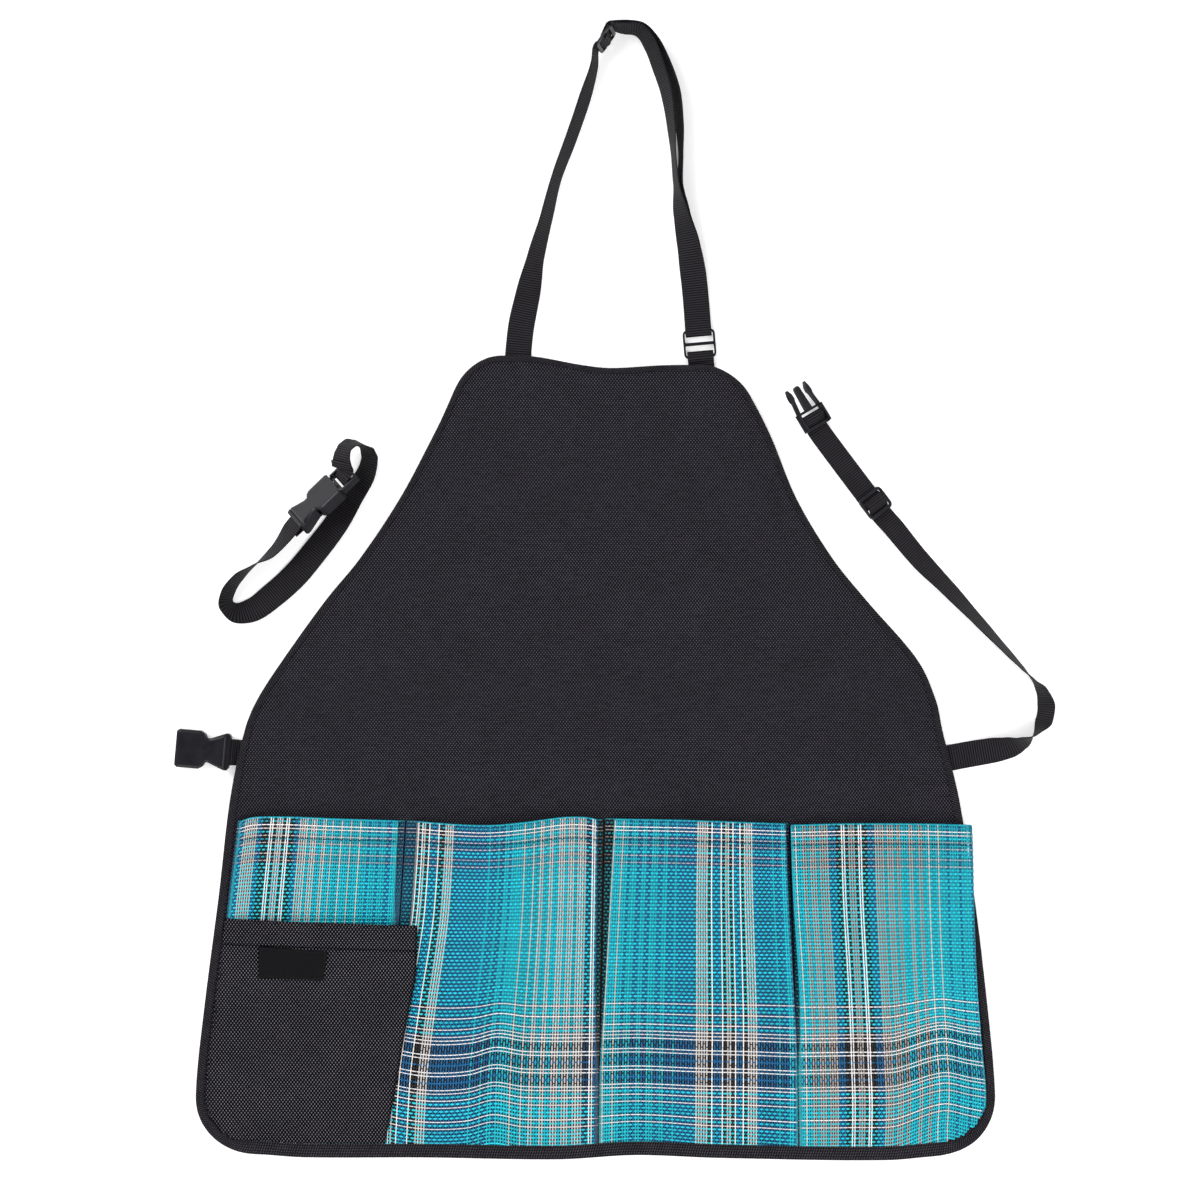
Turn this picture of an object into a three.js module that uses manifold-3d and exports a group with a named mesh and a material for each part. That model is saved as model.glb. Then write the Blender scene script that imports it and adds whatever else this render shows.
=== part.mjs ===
// A bib apron for grooming work, laid on its back with its pockets up.
// Millimetres: X runs across the apron, Y from the hem (-Y) to the neck loop (+Y), and Z up from the
// surface that it lies on. The origin is on the underside of the cloth, near the middle of the waist.

import * as THREE from 'three';
import { mergeVertices } from 'three/addons/utils/BufferGeometryUtils.js';
import loadManifold from 'manifold-3d';

const wasm = await loadManifold();
wasm.setup();

const { clamp, degToRad, lerp, smoothstep } = THREE.MathUtils;

// Walls and clearances
const GAP = 0.3;
const PANEL_WALL = 1.2;
const MESH_WALL = 1.0;
const MESH_HEM_WALL = 1.8;
const POCKET_WALL = 1.2;
const POCKET_HEM_WALL = 2.0;
const BINDING = { wall: 1.0, flange: 12, gap: 0.35 };
const WEBBING = { width: 25, wall: 1.2 };
const LAYER = WEBBING.wall + GAP;
const SURFACE_CLEAR = 0.4;

// Cut edge of the panel, hem to bib
const HEM_Y = -541;
const BIB_Y = 219.5;
const HEM_RADIUS = 57;
const BIB_RADIUS = 28;
const SIDES = [
  { y: -541, left: -402, right: 362.5 },
  { y: -473, left: -401.5, right: 362 },
  { y: -392, left: -393, right: 354.5 },
  { y: -296, left: -380.5, right: 343 },
  { y: -200, left: -369, right: 328 },
  { y: -132, left: -354.5, right: 311.5 },
  { y: -104, left: -343, right: 305.5 },
  { y: -65, left: -318, right: 287.5 },
  { y: -8, left: -277, right: 238.5 },
  { y: 31, left: -245, right: 207 },
  { y: 88, left: -207, right: 172.5 },
  { y: 146, left: -176, right: 148.5 },
  { y: 184, left: -157, right: 130 },
  { y: 220, left: -139, right: 111 },
];
const BIB_WAVE = [
  { u: 0, rise: 6 },
  { u: 0.17, rise: 5 },
  { u: 0.4, rise: -3 },
  { u: 0.55, rise: -6 },
  { u: 0.8, rise: -3.5 },
  { u: 1, rise: -3 },
];
const BIB_WAVE_DEPTH = 60;

// Rows and columns of the panel's cloth: distances from the hem and the bib, and heights between them
const HEM_ROWS = [0, 2.5, 7, 14, 24, 30, 44, 57, 70];
const SKIRT_ROWS = [-430, -385, -340, -300, -252, -222, -192, -152];
const WAIST_ROWS = [-112, -82, -52, -15, 20, 55, 90, 114.5, 145];
const BIB_ROWS = [45, 30, 18, 10, 5, 2, 0];
const EDGE_COLUMN = 20;
const INNER_CELLS = 12;

// The cloth lies flat on the surface, and rises over the binding and over the strap ends sewn behind it
const EDGE_FLAT = 30;
const EDGE_RAMP = 70;
const END_RAMP = 60;
const STRAP_ENDS = [
  { x: -95, y: 210, halfX: 60, halfY: 35.5, layers: 1 },
  { x: 80, y: 210, halfX: 60, halfY: 35.5, layers: 2 },
  { x: -358, y: -152, halfX: 62, halfY: 40, layers: 2 },
  { x: 318, y: -152, halfX: 62, halfY: 40, layers: 1 },
];

// Mesh pockets: heights of the foot and mouth, rows up the pocket, and how far the front stands off
const MESH_FOOT_Y = HEM_Y + 15;
const MESH_ROWS = [0, 0.015, 0.035, 0.065, 0.145, 0.285, 0.45, 0.61, 0.775, 0.9, 0.935, 1];
const MESH_HEM_FROM = 0.93;
const FRONT_CELLS = 6;
const FOLD_SHARE = 0.55;
const TUCK_SHARE = 0.45;
const CROWN_POWER = 0.7;
const PLEAT_DEPTH = 12;
const SEAM_CLEAR = 0.8;
const SIDE_SEAM_INSET = 16;
const SIDE_FOLD_INSET = 25;
// The seams between the pockets, and the turned-back folds to the left and right of each seam
const SEAMS = [
  { foot: -221.5, mouth: -201.5 },
  { foot: -17, mouth: -11.5 },
  { foot: 174.7, mouth: 166.6 },
];
const FOLDS = [
  { left: { foot: -225, mouth: -207.5 }, right: { foot: -218, mouth: -194 } },
  { left: { foot: -20.5, mouth: -17.5 }, right: { foot: -13.5, mouth: -5 } },
  { left: { foot: 171.5, mouth: 164.5 }, right: { foot: 178, mouth: 168.7 } },
];
// Right side of the last pocket: it puffs out over the binding towards its mouth
const PUFF = [
  { t: 0, inset: 18 },
  { t: 0.12, inset: 12 },
  { t: 0.25, inset: 9.5 },
  { t: 0.5, inset: 7 },
  { t: 0.7, inset: 1 },
  { t: 1, inset: -10 },
];

// Black pocket over the lower part of the first mesh pocket
const BLACK_FOOT_Y = HEM_Y + 12.8;
const BLACK_MOUTH_Y = -316;
const BLACK_ROWS = [0, 0.0095, 0.04, 0.085, 0.2, 0.405, 0.6, 0.737, 0.885, 0.9, 1];
const BLACK_HEM_FROM = 0.89;
const BLACK_LIFT = 7;
const BLACK_LIFT_POWER = 0.7;
const BLACK_MOUTH_DROP = 7;
const BLACK_SIDE = { seam: 13.2, rise: 15.2, fold: 27 };
const BLACK_RIGHT = { foot: -222.5, mouth: -190, seamIn: 3, riseOut: 2.5, riseShare: 0.5, foldShare: 0.75 };
const LABEL = { left: -344, right: -277, low: -370, high: -341, wall: 1.0 };

// Hard parts
const BAR = { thick: 2.2, outer: 3.4, centre: 3, corner: 5, hole: 1 };
const SLIDER = { along: 24, across: 31 };
const LINK = { along: 28, across: 31 };
const SLOT_WIDTH = 27;
const MALE = { length: 20, width: 32, rail: 2.5, railHeight: 6.4, bars: 2.2 };
const MALE_SLOTS = [[2.8, 9.8], [12.2, 17.6]];
const PRONG = { tip: 44.5, root: 8, end: 6, height: 4 };
const ARM = { height: 4.6, tip: 45, outer: 14.8, inner: 8.2 };
const FEMALE = { length: 52, width: 36.4, waist: 23, thick: 11, block: 23, waistAt: 30, flare: 47 };
const SOCKET = { depth: 30, width: 30, height: 6.6 };
const TAB_SOCKET = { from: 41, width: 27, height: 6.8, bar: [45.4, 48], barThick: 2.2 };
const FEMALE_RIB = { from: 49, to: 51.6, width: 31, high: 0.8 };

// Where the hard parts lie: heading along the strap, and roll about it
const NECK_SLIDER_AT = { x: -10, y: 528, z: 16, heading: 55, roll: 78 };
const NECK_LINK_AT = { x: 80, y: 238, z: 3.4, heading: -85, roll: 0 };
const WAIST_SLIDER_AT = { x: 248, y: 85, z: 10.9, heading: 127, roll: 32 };
const WAIST_MALE_AT = { x: 194, y: 158, z: 11.4, heading: 121, roll: 32 };
const WAIST_FEMALE_AT = { x: -421.5, y: -149, z: 5.5, heading: -5, roll: 0 };
const EXTENDER_FEMALE_AT = { x: -267, y: 101.5, z: 18.6, heading: 224, roll: 50 };
const EXTENDER_MALE_AT = { x: -252.25, y: 115.74, z: 18.6, heading: 224, roll: 50 };

// Webbing routes over the surface: place of the middle line, and roll from flat
const NECK_LEFT_RUN = [
  { x: -95, y: 193, roll: 0 },
  { x: -94, y: 226, roll: 0 },
  { x: -91, y: 255, roll: 4 },
  { x: -85, y: 283, roll: 22 },
  { x: -77, y: 320, roll: 52 },
  { x: -67, y: 357, roll: 64 },
  { x: -57, y: 396, roll: 70 },
  { x: -43, y: 434, roll: 67 },
  { x: -30, y: 472, roll: 66 },
  { x: -21, y: 503, roll: 75 },
];
const NECK_RIGHT_RUN = [
  { x: 8, y: 539, roll: 74, spread: 0.3 },
  { x: 22, y: 537, roll: 68, spread: 0.3 },
  { x: 32, y: 524, roll: 64, spread: 0.6 },
  { x: 39, y: 503, roll: 62, spread: 1.5 },
  { x: 46, y: 477, roll: 62, spread: 3 },
  { x: 52, y: 447, roll: 68, spread: 4.5 },
  { x: 55, y: 418, roll: 78, spread: 4.5 },
  { x: 58, y: 390, roll: 76, spread: 2 },
  { x: 62, y: 362, roll: 58, spread: 0.6 },
  { x: 69, y: 332, roll: 36, spread: 0.3 },
  { x: 74, y: 303, roll: 12, spread: 0.3 },
  { x: 77, y: 276, roll: 0, spread: 0.3 },
];
const WAIST_RUN = [
  { x: 290, y: -164.5, roll: 0 },
  { x: 321, y: -159, roll: 0 },
  { x: 340, y: -155.5, roll: 2 },
  { x: 360, y: -152, roll: 12 },
  { x: 376, y: -149, roll: 32 },
  { x: 390, y: -144, roll: 58 },
  { x: 401, y: -136, roll: 90 },
  { x: 409, y: -124, roll: 122 },
  { x: 411.5, y: -108, roll: 124 },
  { x: 407, y: -94, roll: 108 },
  { x: 399, y: -84, roll: 90 },
  { x: 388, y: -72, roll: 79 },
  { x: 372, y: -55, roll: 72 },
  { x: 346, y: -27, roll: 62 },
  { x: 318, y: 3, roll: 50 },
  { x: 291, y: 31, roll: 38 },
  { x: 266, y: 61, roll: 33, lift: 2.5 },
];
// Under layer of each short tab, and how far its upper layer lies above it
const NECK_TAB_RUN = [
  { x: 81.6, y: 219.8, roll: 0, upper: 1.85 },
  { x: 82, y: 216.3, roll: 0, upper: 1.5 },
  { x: 82.6, y: 208, roll: 0, upper: 1.5 },
  { x: 83.2, y: 200, roll: 0, upper: 1.5 },
  { x: 84, y: 190, roll: 0, upper: 1.5 },
];
const WAIST_TAB_RUN = [
  { x: -367.8, y: -153.7, roll: 0, lift: 1.4, upper: 4.6 },
  { x: -365.2, y: -153.9, roll: 0, lift: 0.3, upper: 2.1 },
  { x: -362.3, y: -154.2, roll: 0, upper: 1.5 },
  { x: -358, y: -154.5, roll: 0, upper: 1.5 },
  { x: -350, y: -155, roll: 0, upper: 1.5 },
  { x: -335, y: -156, roll: 0, upper: 1.5 },
];
const EXTENDER_RUN = [
  { x: -329, y: 38, roll: 66, lift: 0.8 },
  { x: -347, y: 25, roll: 90 },
  { x: -361, y: 14, roll: 106 },
  { x: -371, y: 0, roll: 114 },
  { x: -373, y: -12, roll: 119 },
  { x: -364, y: -20, roll: 138 },
  { x: -348, y: -17, roll: 158 },
  { x: -329, y: -3, roll: 172 },
  { x: -309, y: 15, roll: 178 },
  { x: -291, y: 36, roll: 172 },
  { x: -268, y: 66, roll: 163 },
  { x: -249, y: 97, roll: 156 },
  { x: -240, y: 114, roll: 146 },
  { x: -235.5, y: 127, roll: 128 },
  { x: -237.5, y: 138, roll: 108 },
  { x: -245, y: 142.5, roll: 90, lift: 1 },
  { x: -250.5, y: 138, roll: 74, lift: 3 },
  { x: -250, y: 129, roll: 60, lift: 6 },
];

const STEPS = 2;

const UP = new THREE.Vector3(0, 0, 1);

const CLOTH_BLACK = new THREE.MeshStandardMaterial({ color: '#1b1a1f', roughness: 0.9, metalness: 0 });
const WEBBING_BLACK = new THREE.MeshStandardMaterial({ color: '#161518', roughness: 0.8, metalness: 0 });
const MESH_TEAL = new THREE.MeshStandardMaterial({ color: '#2aa6b0', roughness: 0.55, metalness: 0 });
const PLASTIC_BLACK = new THREE.MeshStandardMaterial({ color: '#19181b', roughness: 0.45, metalness: 0 });

// Value of one column of a table where its key column has a given value, on a smooth curve
function tableValue(rows, key, column, at) {
  const last = rows.length - 1;
  let i = 0;
  while (i < last - 1 && at > rows[i + 1][key]) i += 1;
  const slope = (a, b) => (rows[b][column] - rows[a][column]) / (rows[b][key] - rows[a][key]);
  const span = rows[i + 1][key] - rows[i][key];
  const startSlope = span * slope(Math.max(i - 1, 0), i + 1);
  const endSlope = span * slope(i, Math.min(i + 2, last));
  const t = clamp((at - rows[i][key]) / span, 0, 1);
  const rest = 1 - t;
  return rows[i][column] * rest * rest * (1 + 2 * t) + startSlope * t * rest * rest
    + rows[i + 1][column] * t * t * (3 - 2 * t) - endSlope * t * t * rest;
}

// 1 up to a distance, then falling evenly to 0
function ramp(distance, flat, end) {
  return clamp((end - distance) / (end - flat), 0, 1);
}

// A closed solid from points and triangles, turned so that its faces point out
function solid(points, triangles) {
  const edges = [new THREE.Vector3(), new THREE.Vector3()];
  const volume = triangles.reduce((sum, [a, b, c]) => {
    edges[0].copy(points[b]).cross(points[c]);
    return sum + points[a].dot(edges[0]);
  }, 0);
  const order = volume < 0 ? ([a, b, c]) => [a, c, b] : (triangle) => triangle;
  const geometry = new THREE.BufferGeometry().setFromPoints(points);
  geometry.setIndex(triangles.flatMap(order));
  return geometry;
}

// Skin over a row of closed sections, joined end to end or capped. Cells picked by otherWay are split along
// their other diagonal, so that the faces and layers of a twisted strap stay parallel.
function skin(sections, joined, otherWay = () => false) {
  const around = sections[0].length;
  const count = sections.length;
  const triangles = [];
  for (let i = 0; i < (joined ? count : count - 1); i += 1) {
    for (let j = 0; j < around; j += 1) {
      const a = i * around + j;
      const b = i * around + (j + 1) % around;
      const c = ((i + 1) % count) * around + (j + 1) % around;
      const d = ((i + 1) % count) * around + j;
      if (otherWay(i, j)) triangles.push([a, b, d], [b, c, d]);
      else triangles.push([a, b, c], [a, c, d]);
    }
  }
  for (let j = 1; !joined && j < around - 1; j += 1) {
    const far = (count - 1) * around;
    triangles.push([0, j + 1, j], [far, far + j, far + j + 1]);
  }
  return solid(sections.flat(), triangles);
}

// Directions square to a grid of points, one for each point, longer where the cloth is folded
function gridNormals(points) {
  const rows = points.length - 1;
  const cols = points[0].length - 1;
  const cells = points.slice(1).map((high, r) => high.slice(1).map((corner, c) => {
    const rising = corner.clone().sub(points[r][c]);
    const falling = high[c].clone().sub(points[r][c + 1]);
    return rising.cross(falling).normalize();
  }));
  const steepest = 0.65;
  return points.map((row, r) => row.map((_, c) => {
    const near = [];
    for (const i of [r - 1, r]) {
      for (const j of [c - 1, c]) {
        if (i >= 0 && i < rows && j >= 0 && j < cols) near.push(cells[i][j]);
      }
    }
    const normal = near.reduce((sum, cell) => sum.add(cell), new THREE.Vector3()).normalize();
    return normal.divideScalar(Math.max(steepest, normal.dot(near[0])));
  }));
}

// A wall of cloth about a grid of points on its middle surface: rows up it, columns across it
function clothWall(points, wallAt) {
  const rows = points.length;
  const cols = points[0].length;
  const normals = gridNormals(points);
  const shifted = (side) => points.flatMap((row, r) => row.map((point, c) => (
    point.clone().addScaledVector(normals[r][c], side * wallAt(r) / 2))));
  const back = rows * cols;
  const triangles = [];
  const quad = (a, b, c, d) => triangles.push([a, b, c], [a, c, d]);
  for (let r = 0; r < rows - 1; r += 1) {
    for (let c = 0; c < cols - 1; c += 1) {
      const i = r * cols + c;
      quad(i, i + 1, i + cols + 1, i + cols);
      quad(back + i, back + i + cols, back + i + cols + 1, back + i + 1);
    }
    const left = r * cols;
    const right = left + cols - 1;
    quad(left, left + cols, back + left + cols, back + left);
    quad(right + cols, right, back + right, back + right + cols);
  }
  for (let c = 0; c < cols - 1; c += 1) {
    const top = back - cols + c;
    quad(c + 1, c, back + c, back + c + 1);
    quad(top, top + 1, back + top + 1, back + top);
  }
  return solid([...shifted(1), ...shifted(-1)], triangles);
}

// How far a rounded corner draws an edge in, at a height above the corner
function cornerInset(height, radius) {
  const short = clamp(radius - height, 0, radius);
  return radius - Math.sqrt(radius * radius - short * short);
}

// Side edge of the panel, or a line a distance inside it
function edgeX(y, side, inset = 0) {
  const inward = side === 'left' ? 1 : -1;
  const hemCorner = cornerInset(y - HEM_Y - inset, HEM_RADIUS - inset);
  const bibCorner = cornerInset(BIB_Y - inset - y, BIB_RADIUS);
  return tableValue(SIDES, 'y', side, y) + inward * (inset + hemCorner + bibCorner);
}

// Plan of the panel: rows of points from the hem to the bib
function panelPlan() {
  const heights = [
    ...HEM_ROWS.map((row) => HEM_Y + row),
    ...SKIRT_ROWS,
    ...WAIST_ROWS,
    ...BIB_ROWS.map((row) => BIB_Y - row),
  ];
  return heights.map((y) => {
    const left = edgeX(y, 'left');
    const right = edgeX(y, 'right');
    const inner = Array.from({ length: INNER_CELLS + 1 }, (_, i) => (
      lerp(left + EDGE_COLUMN, right - EDGE_COLUMN, i / INNER_CELLS)));
    return [left, ...inner, right].map((x) => {
      const rise = tableValue(BIB_WAVE, 'u', 'rise', (x - left) / (right - left));
      return new THREE.Vector3(x, y + rise * smoothstep(y, BIB_Y - BIB_WAVE_DEPTH, BIB_Y), 0);
    });
  });
}

// Points round the edge of a grid, anticlockwise
function gridEdge(points) {
  const last = points.length - 1;
  const side = points[0].length - 1;
  return [
    ...points[0].slice(0, side),
    ...points.slice(0, last).map((row) => row[side]),
    ...points[last].slice(1).reverse(),
    ...points.slice(1).map((row) => row[0]).reverse(),
  ];
}

const PLAN = panelPlan();
const OUTLINE = gridEdge(PLAN);

function distanceToOutline(point) {
  const nearest = new THREE.Vector3();
  return Math.min(...OUTLINE.map((start, i) => {
    const edge = new THREE.Line3(start, OUTLINE[(i + 1) % OUTLINE.length]);
    return edge.closestPointToPoint(point, true, nearest).distanceTo(point);
  }));
}

// Height of the panel's underside over the surface that the apron lies on
function bedHeight(x, y) {
  const inside = distanceToOutline(new THREE.Vector3(x, y, 0));
  const lifts = STRAP_ENDS.map((end) => {
    const outX = Math.abs(x - end.x) - end.halfX;
    const outY = Math.abs(y - end.y) - end.halfY;
    return (end.layers * LAYER + SURFACE_CLEAR) * ramp(outX, 0, END_RAMP) * ramp(outY, 0, END_RAMP);
  });
  return (BINDING.wall + BINDING.gap) * ramp(inside, EDGE_FLAT, EDGE_RAMP) + Math.max(...lifts);
}

function apronPanel() {
  const middle = PLAN.map((row) => row.map(({ x, y }) => (
    new THREE.Vector3(x, y, bedHeight(x, y) + PANEL_WALL / 2))));
  return clothWall(middle, () => PANEL_WALL);
}

// Tape folded round the edge: a U section whose two flanges hold the panel between them
function edgeBinding() {
  const count = OUTLINE.length;
  const sections = OUTLINE.map((point, i) => {
    const ahead = OUTLINE[(i + 1) % count].clone().sub(point).normalize();
    const behind = point.clone().sub(OUTLINE[(i + count - 1) % count]).normalize();
    const outward = ahead.add(behind).normalize().cross(UP);
    const at = (out, height) => point.clone().addScaledVector(outward, out).setZ(height);
    const tip = at(-BINDING.flange, 0);
    const low = (bed, wall) => bed - BINDING.gap - wall;
    const high = (bed, wall) => bed + PANEL_WALL + BINDING.gap + wall;
    const edgeBed = bedHeight(point.x, point.y);
    const tipBed = bedHeight(tip.x, tip.y);
    const outer = GAP + BINDING.wall;
    return [
      at(-BINDING.flange, high(tipBed, BINDING.wall)),
      at(outer, high(edgeBed, BINDING.wall)),
      at(outer, low(edgeBed, BINDING.wall)),
      at(-BINDING.flange, low(tipBed, BINDING.wall)),
      at(-BINDING.flange, low(tipBed, 0)),
      at(GAP, low(edgeBed, 0)),
      at(GAP, high(edgeBed, 0)),
      at(-BINDING.flange, high(tipBed, 0)),
    ];
  });
  return skin(sections, true);
}

// A line on the panel, straight from the foot of a pocket to its mouth
function straight({ foot, mouth }, aside = 0) {
  return (y, t) => lerp(foot, mouth, t) + aside;
}

function besideEdge(side, inset) {
  return (y) => edgeX(y, side, inset);
}

function puffedEdge(y, t) {
  return edgeX(y, 'right', tableValue(PUFF, 't', 'inset', t));
}

// The mesh strip, divided at its seams. A side is sewn down at its seam and turned back at its fold,
// with a pleat between them that opens from one share of the pocket's height to another.
const POCKETS = [
  {
    name: 'mesh_pocket_1',
    mouth: -215,
    lift: 9,
    power: 1.5,
    pleat: { from: 0.6, to: 0.95 },
    left: { seam: besideEdge('left', SIDE_SEAM_INSET), fold: besideEdge('left', SIDE_FOLD_INSET), tuck: 4 },
    right: { seam: straight(SEAMS[0], -SEAM_CLEAR), fold: straight(FOLDS[0].left), tuck: PLEAT_DEPTH },
  },
  {
    name: 'mesh_pocket_2',
    mouth: -222,
    lift: 11,
    power: 0.6,
    pleat: { from: 0.2, to: 0.55 },
    left: { seam: straight(SEAMS[0], SEAM_CLEAR), fold: straight(FOLDS[0].right), tuck: PLEAT_DEPTH },
    right: { seam: straight(SEAMS[1], -SEAM_CLEAR), fold: straight(FOLDS[1].left), tuck: PLEAT_DEPTH },
  },
  {
    name: 'mesh_pocket_3',
    mouth: -219,
    lift: 11,
    power: 0.6,
    pleat: { from: 0.2, to: 0.55 },
    left: { seam: straight(SEAMS[1], SEAM_CLEAR), fold: straight(FOLDS[1].right), tuck: PLEAT_DEPTH },
    right: { seam: straight(SEAMS[2], -SEAM_CLEAR), fold: straight(FOLDS[2].left), tuck: PLEAT_DEPTH },
  },
  {
    name: 'mesh_pocket_4',
    mouth: -224,
    lift: 11,
    power: 0.6,
    pleat: { from: 0.2, to: 0.55 },
    left: { seam: straight(SEAMS[2], SEAM_CLEAR), fold: straight(FOLDS[2].right), tuck: PLEAT_DEPTH },
    right: { seam: besideEdge('right', SIDE_SEAM_INSET), fold: puffedEdge, tuck: PLEAT_DEPTH },
  },
];

// Height of a mesh wall's middle where it lies on the panel
function meshBed(x, y) {
  return bedHeight(x, y) + PANEL_WALL + GAP + MESH_WALL / 2;
}

function meshWall(t) {
  return t > MESH_HEM_FROM ? MESH_HEM_WALL : MESH_WALL;
}

function meshLift(pocket, t) {
  return pocket.lift * t ** pocket.power;
}

// One row across a mesh pocket: seam, tuck and fold on each side, and the crowned front between them
function meshRow(pocket, t) {
  const y = lerp(MESH_FOOT_Y, pocket.mouth, t);
  const lift = meshLift(pocket, t);
  const foldLift = FOLD_SHARE * lift;
  const open = smoothstep(t, pocket.pleat.from, pocket.pleat.to);
  const thicker = (meshWall(t) - MESH_WALL) / 2;
  const at = (x, rise) => new THREE.Vector3(x, y, meshBed(x, y) + thicker + rise);
  const pleat = ({ seam, fold, tuck }, inward) => {
    const seamX = seam(y, t);
    const foldX = fold(y, t);
    const tuckX = lerp((seamX + foldX) / 2, seamX + inward * tuck, open);
    return [at(seamX, 0), at(tuckX, TUCK_SHARE * foldLift), at(foldX, foldLift)];
  };
  const left = pleat(pocket.left, 1);
  const right = pleat(pocket.right, -1);
  const front = Array.from({ length: FRONT_CELLS - 1 }, (_, i) => {
    const u = (i + 1) / FRONT_CELLS;
    const crown = Math.sin(Math.PI * u) ** CROWN_POWER;
    return at(lerp(left[2].x, right[2].x, u), lerp(foldLift, lift, crown));
  });
  return [...left, ...front, ...right.reverse()];
}

function meshPocket(pocket) {
  const points = MESH_ROWS.map((t) => meshRow(pocket, t));
  return clothWall(points, (r) => meshWall(MESH_ROWS[r]));
}

function blackWall(share) {
  return share > BLACK_HEM_FROM ? POCKET_HEM_WALL : POCKET_WALL;
}

// Middle surface of the black pocket. It is sewn to the panel at its foot and left side, and to the
// front of the first mesh pocket at its right side, and it stands clear of that pocket between them.
function blackPocketPoints() {
  const under = POCKETS[0];
  const clear = MESH_WALL / 2 + GAP + POCKET_WALL / 2 + GAP / 3;
  return BLACK_ROWS.map((share) => {
    const y = lerp(BLACK_FOOT_Y, BLACK_MOUTH_Y, share);
    const t = Math.max(0, (y - MESH_FOOT_Y) / (under.mouth - MESH_FOOT_Y));
    const underLift = meshLift(under, t);
    const own = BLACK_LIFT * share ** BLACK_LIFT_POWER;
    const raised = share > 0 ? clear : 0;
    const thicker = (blackWall(share) - MESH_WALL) / 2;
    const at = (x, rise) => new THREE.Vector3(x, y, meshBed(x, y) + thicker + rise);
    const left = {
      seam: edgeX(y, 'left', BLACK_SIDE.seam),
      rise: edgeX(y, 'left', BLACK_SIDE.rise),
      fold: edgeX(y, 'left', BLACK_SIDE.fold),
    };
    const seamX = under.right.fold(y, t) - BLACK_RIGHT.seamIn;
    const foldX = lerp(BLACK_RIGHT.foot, BLACK_RIGHT.mouth, share);
    const foldRise = raised + FOLD_SHARE * underLift;
    const front = Array.from({ length: FRONT_CELLS - 1 }, (_, i) => {
      const u = (i + 1) / FRONT_CELLS;
      const crown = Math.sin(Math.PI * u) ** CROWN_POWER;
      const leftRise = foldRise + FOLD_SHARE * own;
      const rightRise = foldRise + BLACK_RIGHT.foldShare * own;
      const flatRise = lerp(leftRise, rightRise, u);
      return at(lerp(left.fold, foldX, u), lerp(flatRise, raised + underLift + own, crown));
    });
    const row = [
      at(left.seam, 0),
      at(left.rise, raised),
      at(left.fold, foldRise + FOLD_SHARE * own),
      ...front,
      at(foldX, foldRise + BLACK_RIGHT.foldShare * own),
      at(seamX + BLACK_RIGHT.riseOut, foldRise + BLACK_RIGHT.riseShare * own),
      at(seamX, foldRise),
    ];
    const width = foldX - left.seam;
    const drop = (x) => BLACK_MOUTH_DROP * share * ((x - left.seam) / width - 0.5);
    return row.map((point) => point.setY(y - drop(point.x)));
  });
}

const BLACK_POINTS = blackPocketPoints();

function blackPocket() {
  return clothWall(BLACK_POINTS, (r) => blackWall(BLACK_ROWS[r]));
}

// A patch that follows the black pocket's front, on the row of cells below its hem
function labelPatch() {
  const lowRow = BLACK_ROWS.findIndex((share) => share > BLACK_HEM_FROM) - 2;
  const [low, high] = [BLACK_POINTS[lowRow], BLACK_POINTS[lowRow + 1]];
  const onRow = (row, x) => {
    const c = row.findIndex((point, i) => i > 1 && point.x > x);
    return row[c - 1].clone().lerp(row[c], (x - row[c - 1].x) / (row[c].x - row[c - 1].x));
  };
  const stops = low.slice(2, -3).map((point) => point.x).filter((x) => x > LABEL.left && x < LABEL.right);
  const columns = [LABEL.left, ...stops, LABEL.right];
  const middle = [LABEL.low, LABEL.high].map((y) => columns.map((x) => {
    const from = onRow(low, x);
    const to = onRow(high, x);
    return from.lerp(to, (y - from.y) / (to.y - from.y));
  }));
  const normals = gridNormals(middle);
  const stand = POCKET_WALL / 2 + GAP + LABEL.wall / 2;
  const lifted = middle.map((row, r) => row.map((point, c) => point.addScaledVector(normals[r][c], stand)));
  return clothWall(lifted, () => LABEL.wall);
}

// Directions of a hard part: along its strap, across it, and square to both
function fitting({ x, y, z, heading, roll }) {
  const along = new THREE.Vector3(Math.cos(degToRad(heading)), Math.sin(degToRad(heading)), 0);
  const across = rolledAcross(along, roll);
  const normal = along.clone().cross(across);
  return { origin: new THREE.Vector3(x, y, z), along, across, normal };
}

function rolledAcross(along, roll) {
  const side = UP.clone().cross(along).normalize();
  return side.multiplyScalar(Math.cos(degToRad(roll))).addScaledVector(UP, Math.sin(degToRad(roll)));
}

// A place on a strap within a hard part: distance along it, and height square to it
function inFitting({ origin, along, across, normal }, [distance, height]) {
  const point = origin.clone().addScaledVector(along, distance).addScaledVector(normal, height);
  return { point, across };
}

// Places on a strap that lies on the surface, resting on its lower edge
function overSurface(rows) {
  return rows.map((row, i) => {
    const before = rows[Math.max(i - 1, 0)];
    const after = rows[Math.min(i + 1, rows.length - 1)];
    const along = new THREE.Vector3(after.x - before.x, after.y - before.y, 0).normalize();
    const roll = degToRad(row.roll);
    const rest = WEBBING.width / 2 * Math.abs(Math.sin(roll)) + WEBBING.wall / 2 * Math.abs(Math.cos(roll));
    const under = row.spread === undefined ? 0 : (LAYER + row.spread) * Math.abs(Math.cos(roll));
    const point = new THREE.Vector3(row.x, row.y, SURFACE_CLEAR + rest + under + (row.lift ?? 0));
    return { point, across: rolledAcross(along, row.roll) };
  });
}

// The second layer of a doubled strap, back along the first on its under side
function doubledBack(stations, rows) {
  return stations.map(({ point, across }, i) => {
    const before = stations[Math.max(i - 1, 0)].point;
    const after = stations[Math.min(i + 1, stations.length - 1)].point;
    const normal = after.clone().sub(before).normalize().cross(across).normalize();
    return { point: point.clone().addScaledVector(normal, -(LAYER + rows[i].spread)), across };
  }).reverse();
}

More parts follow.
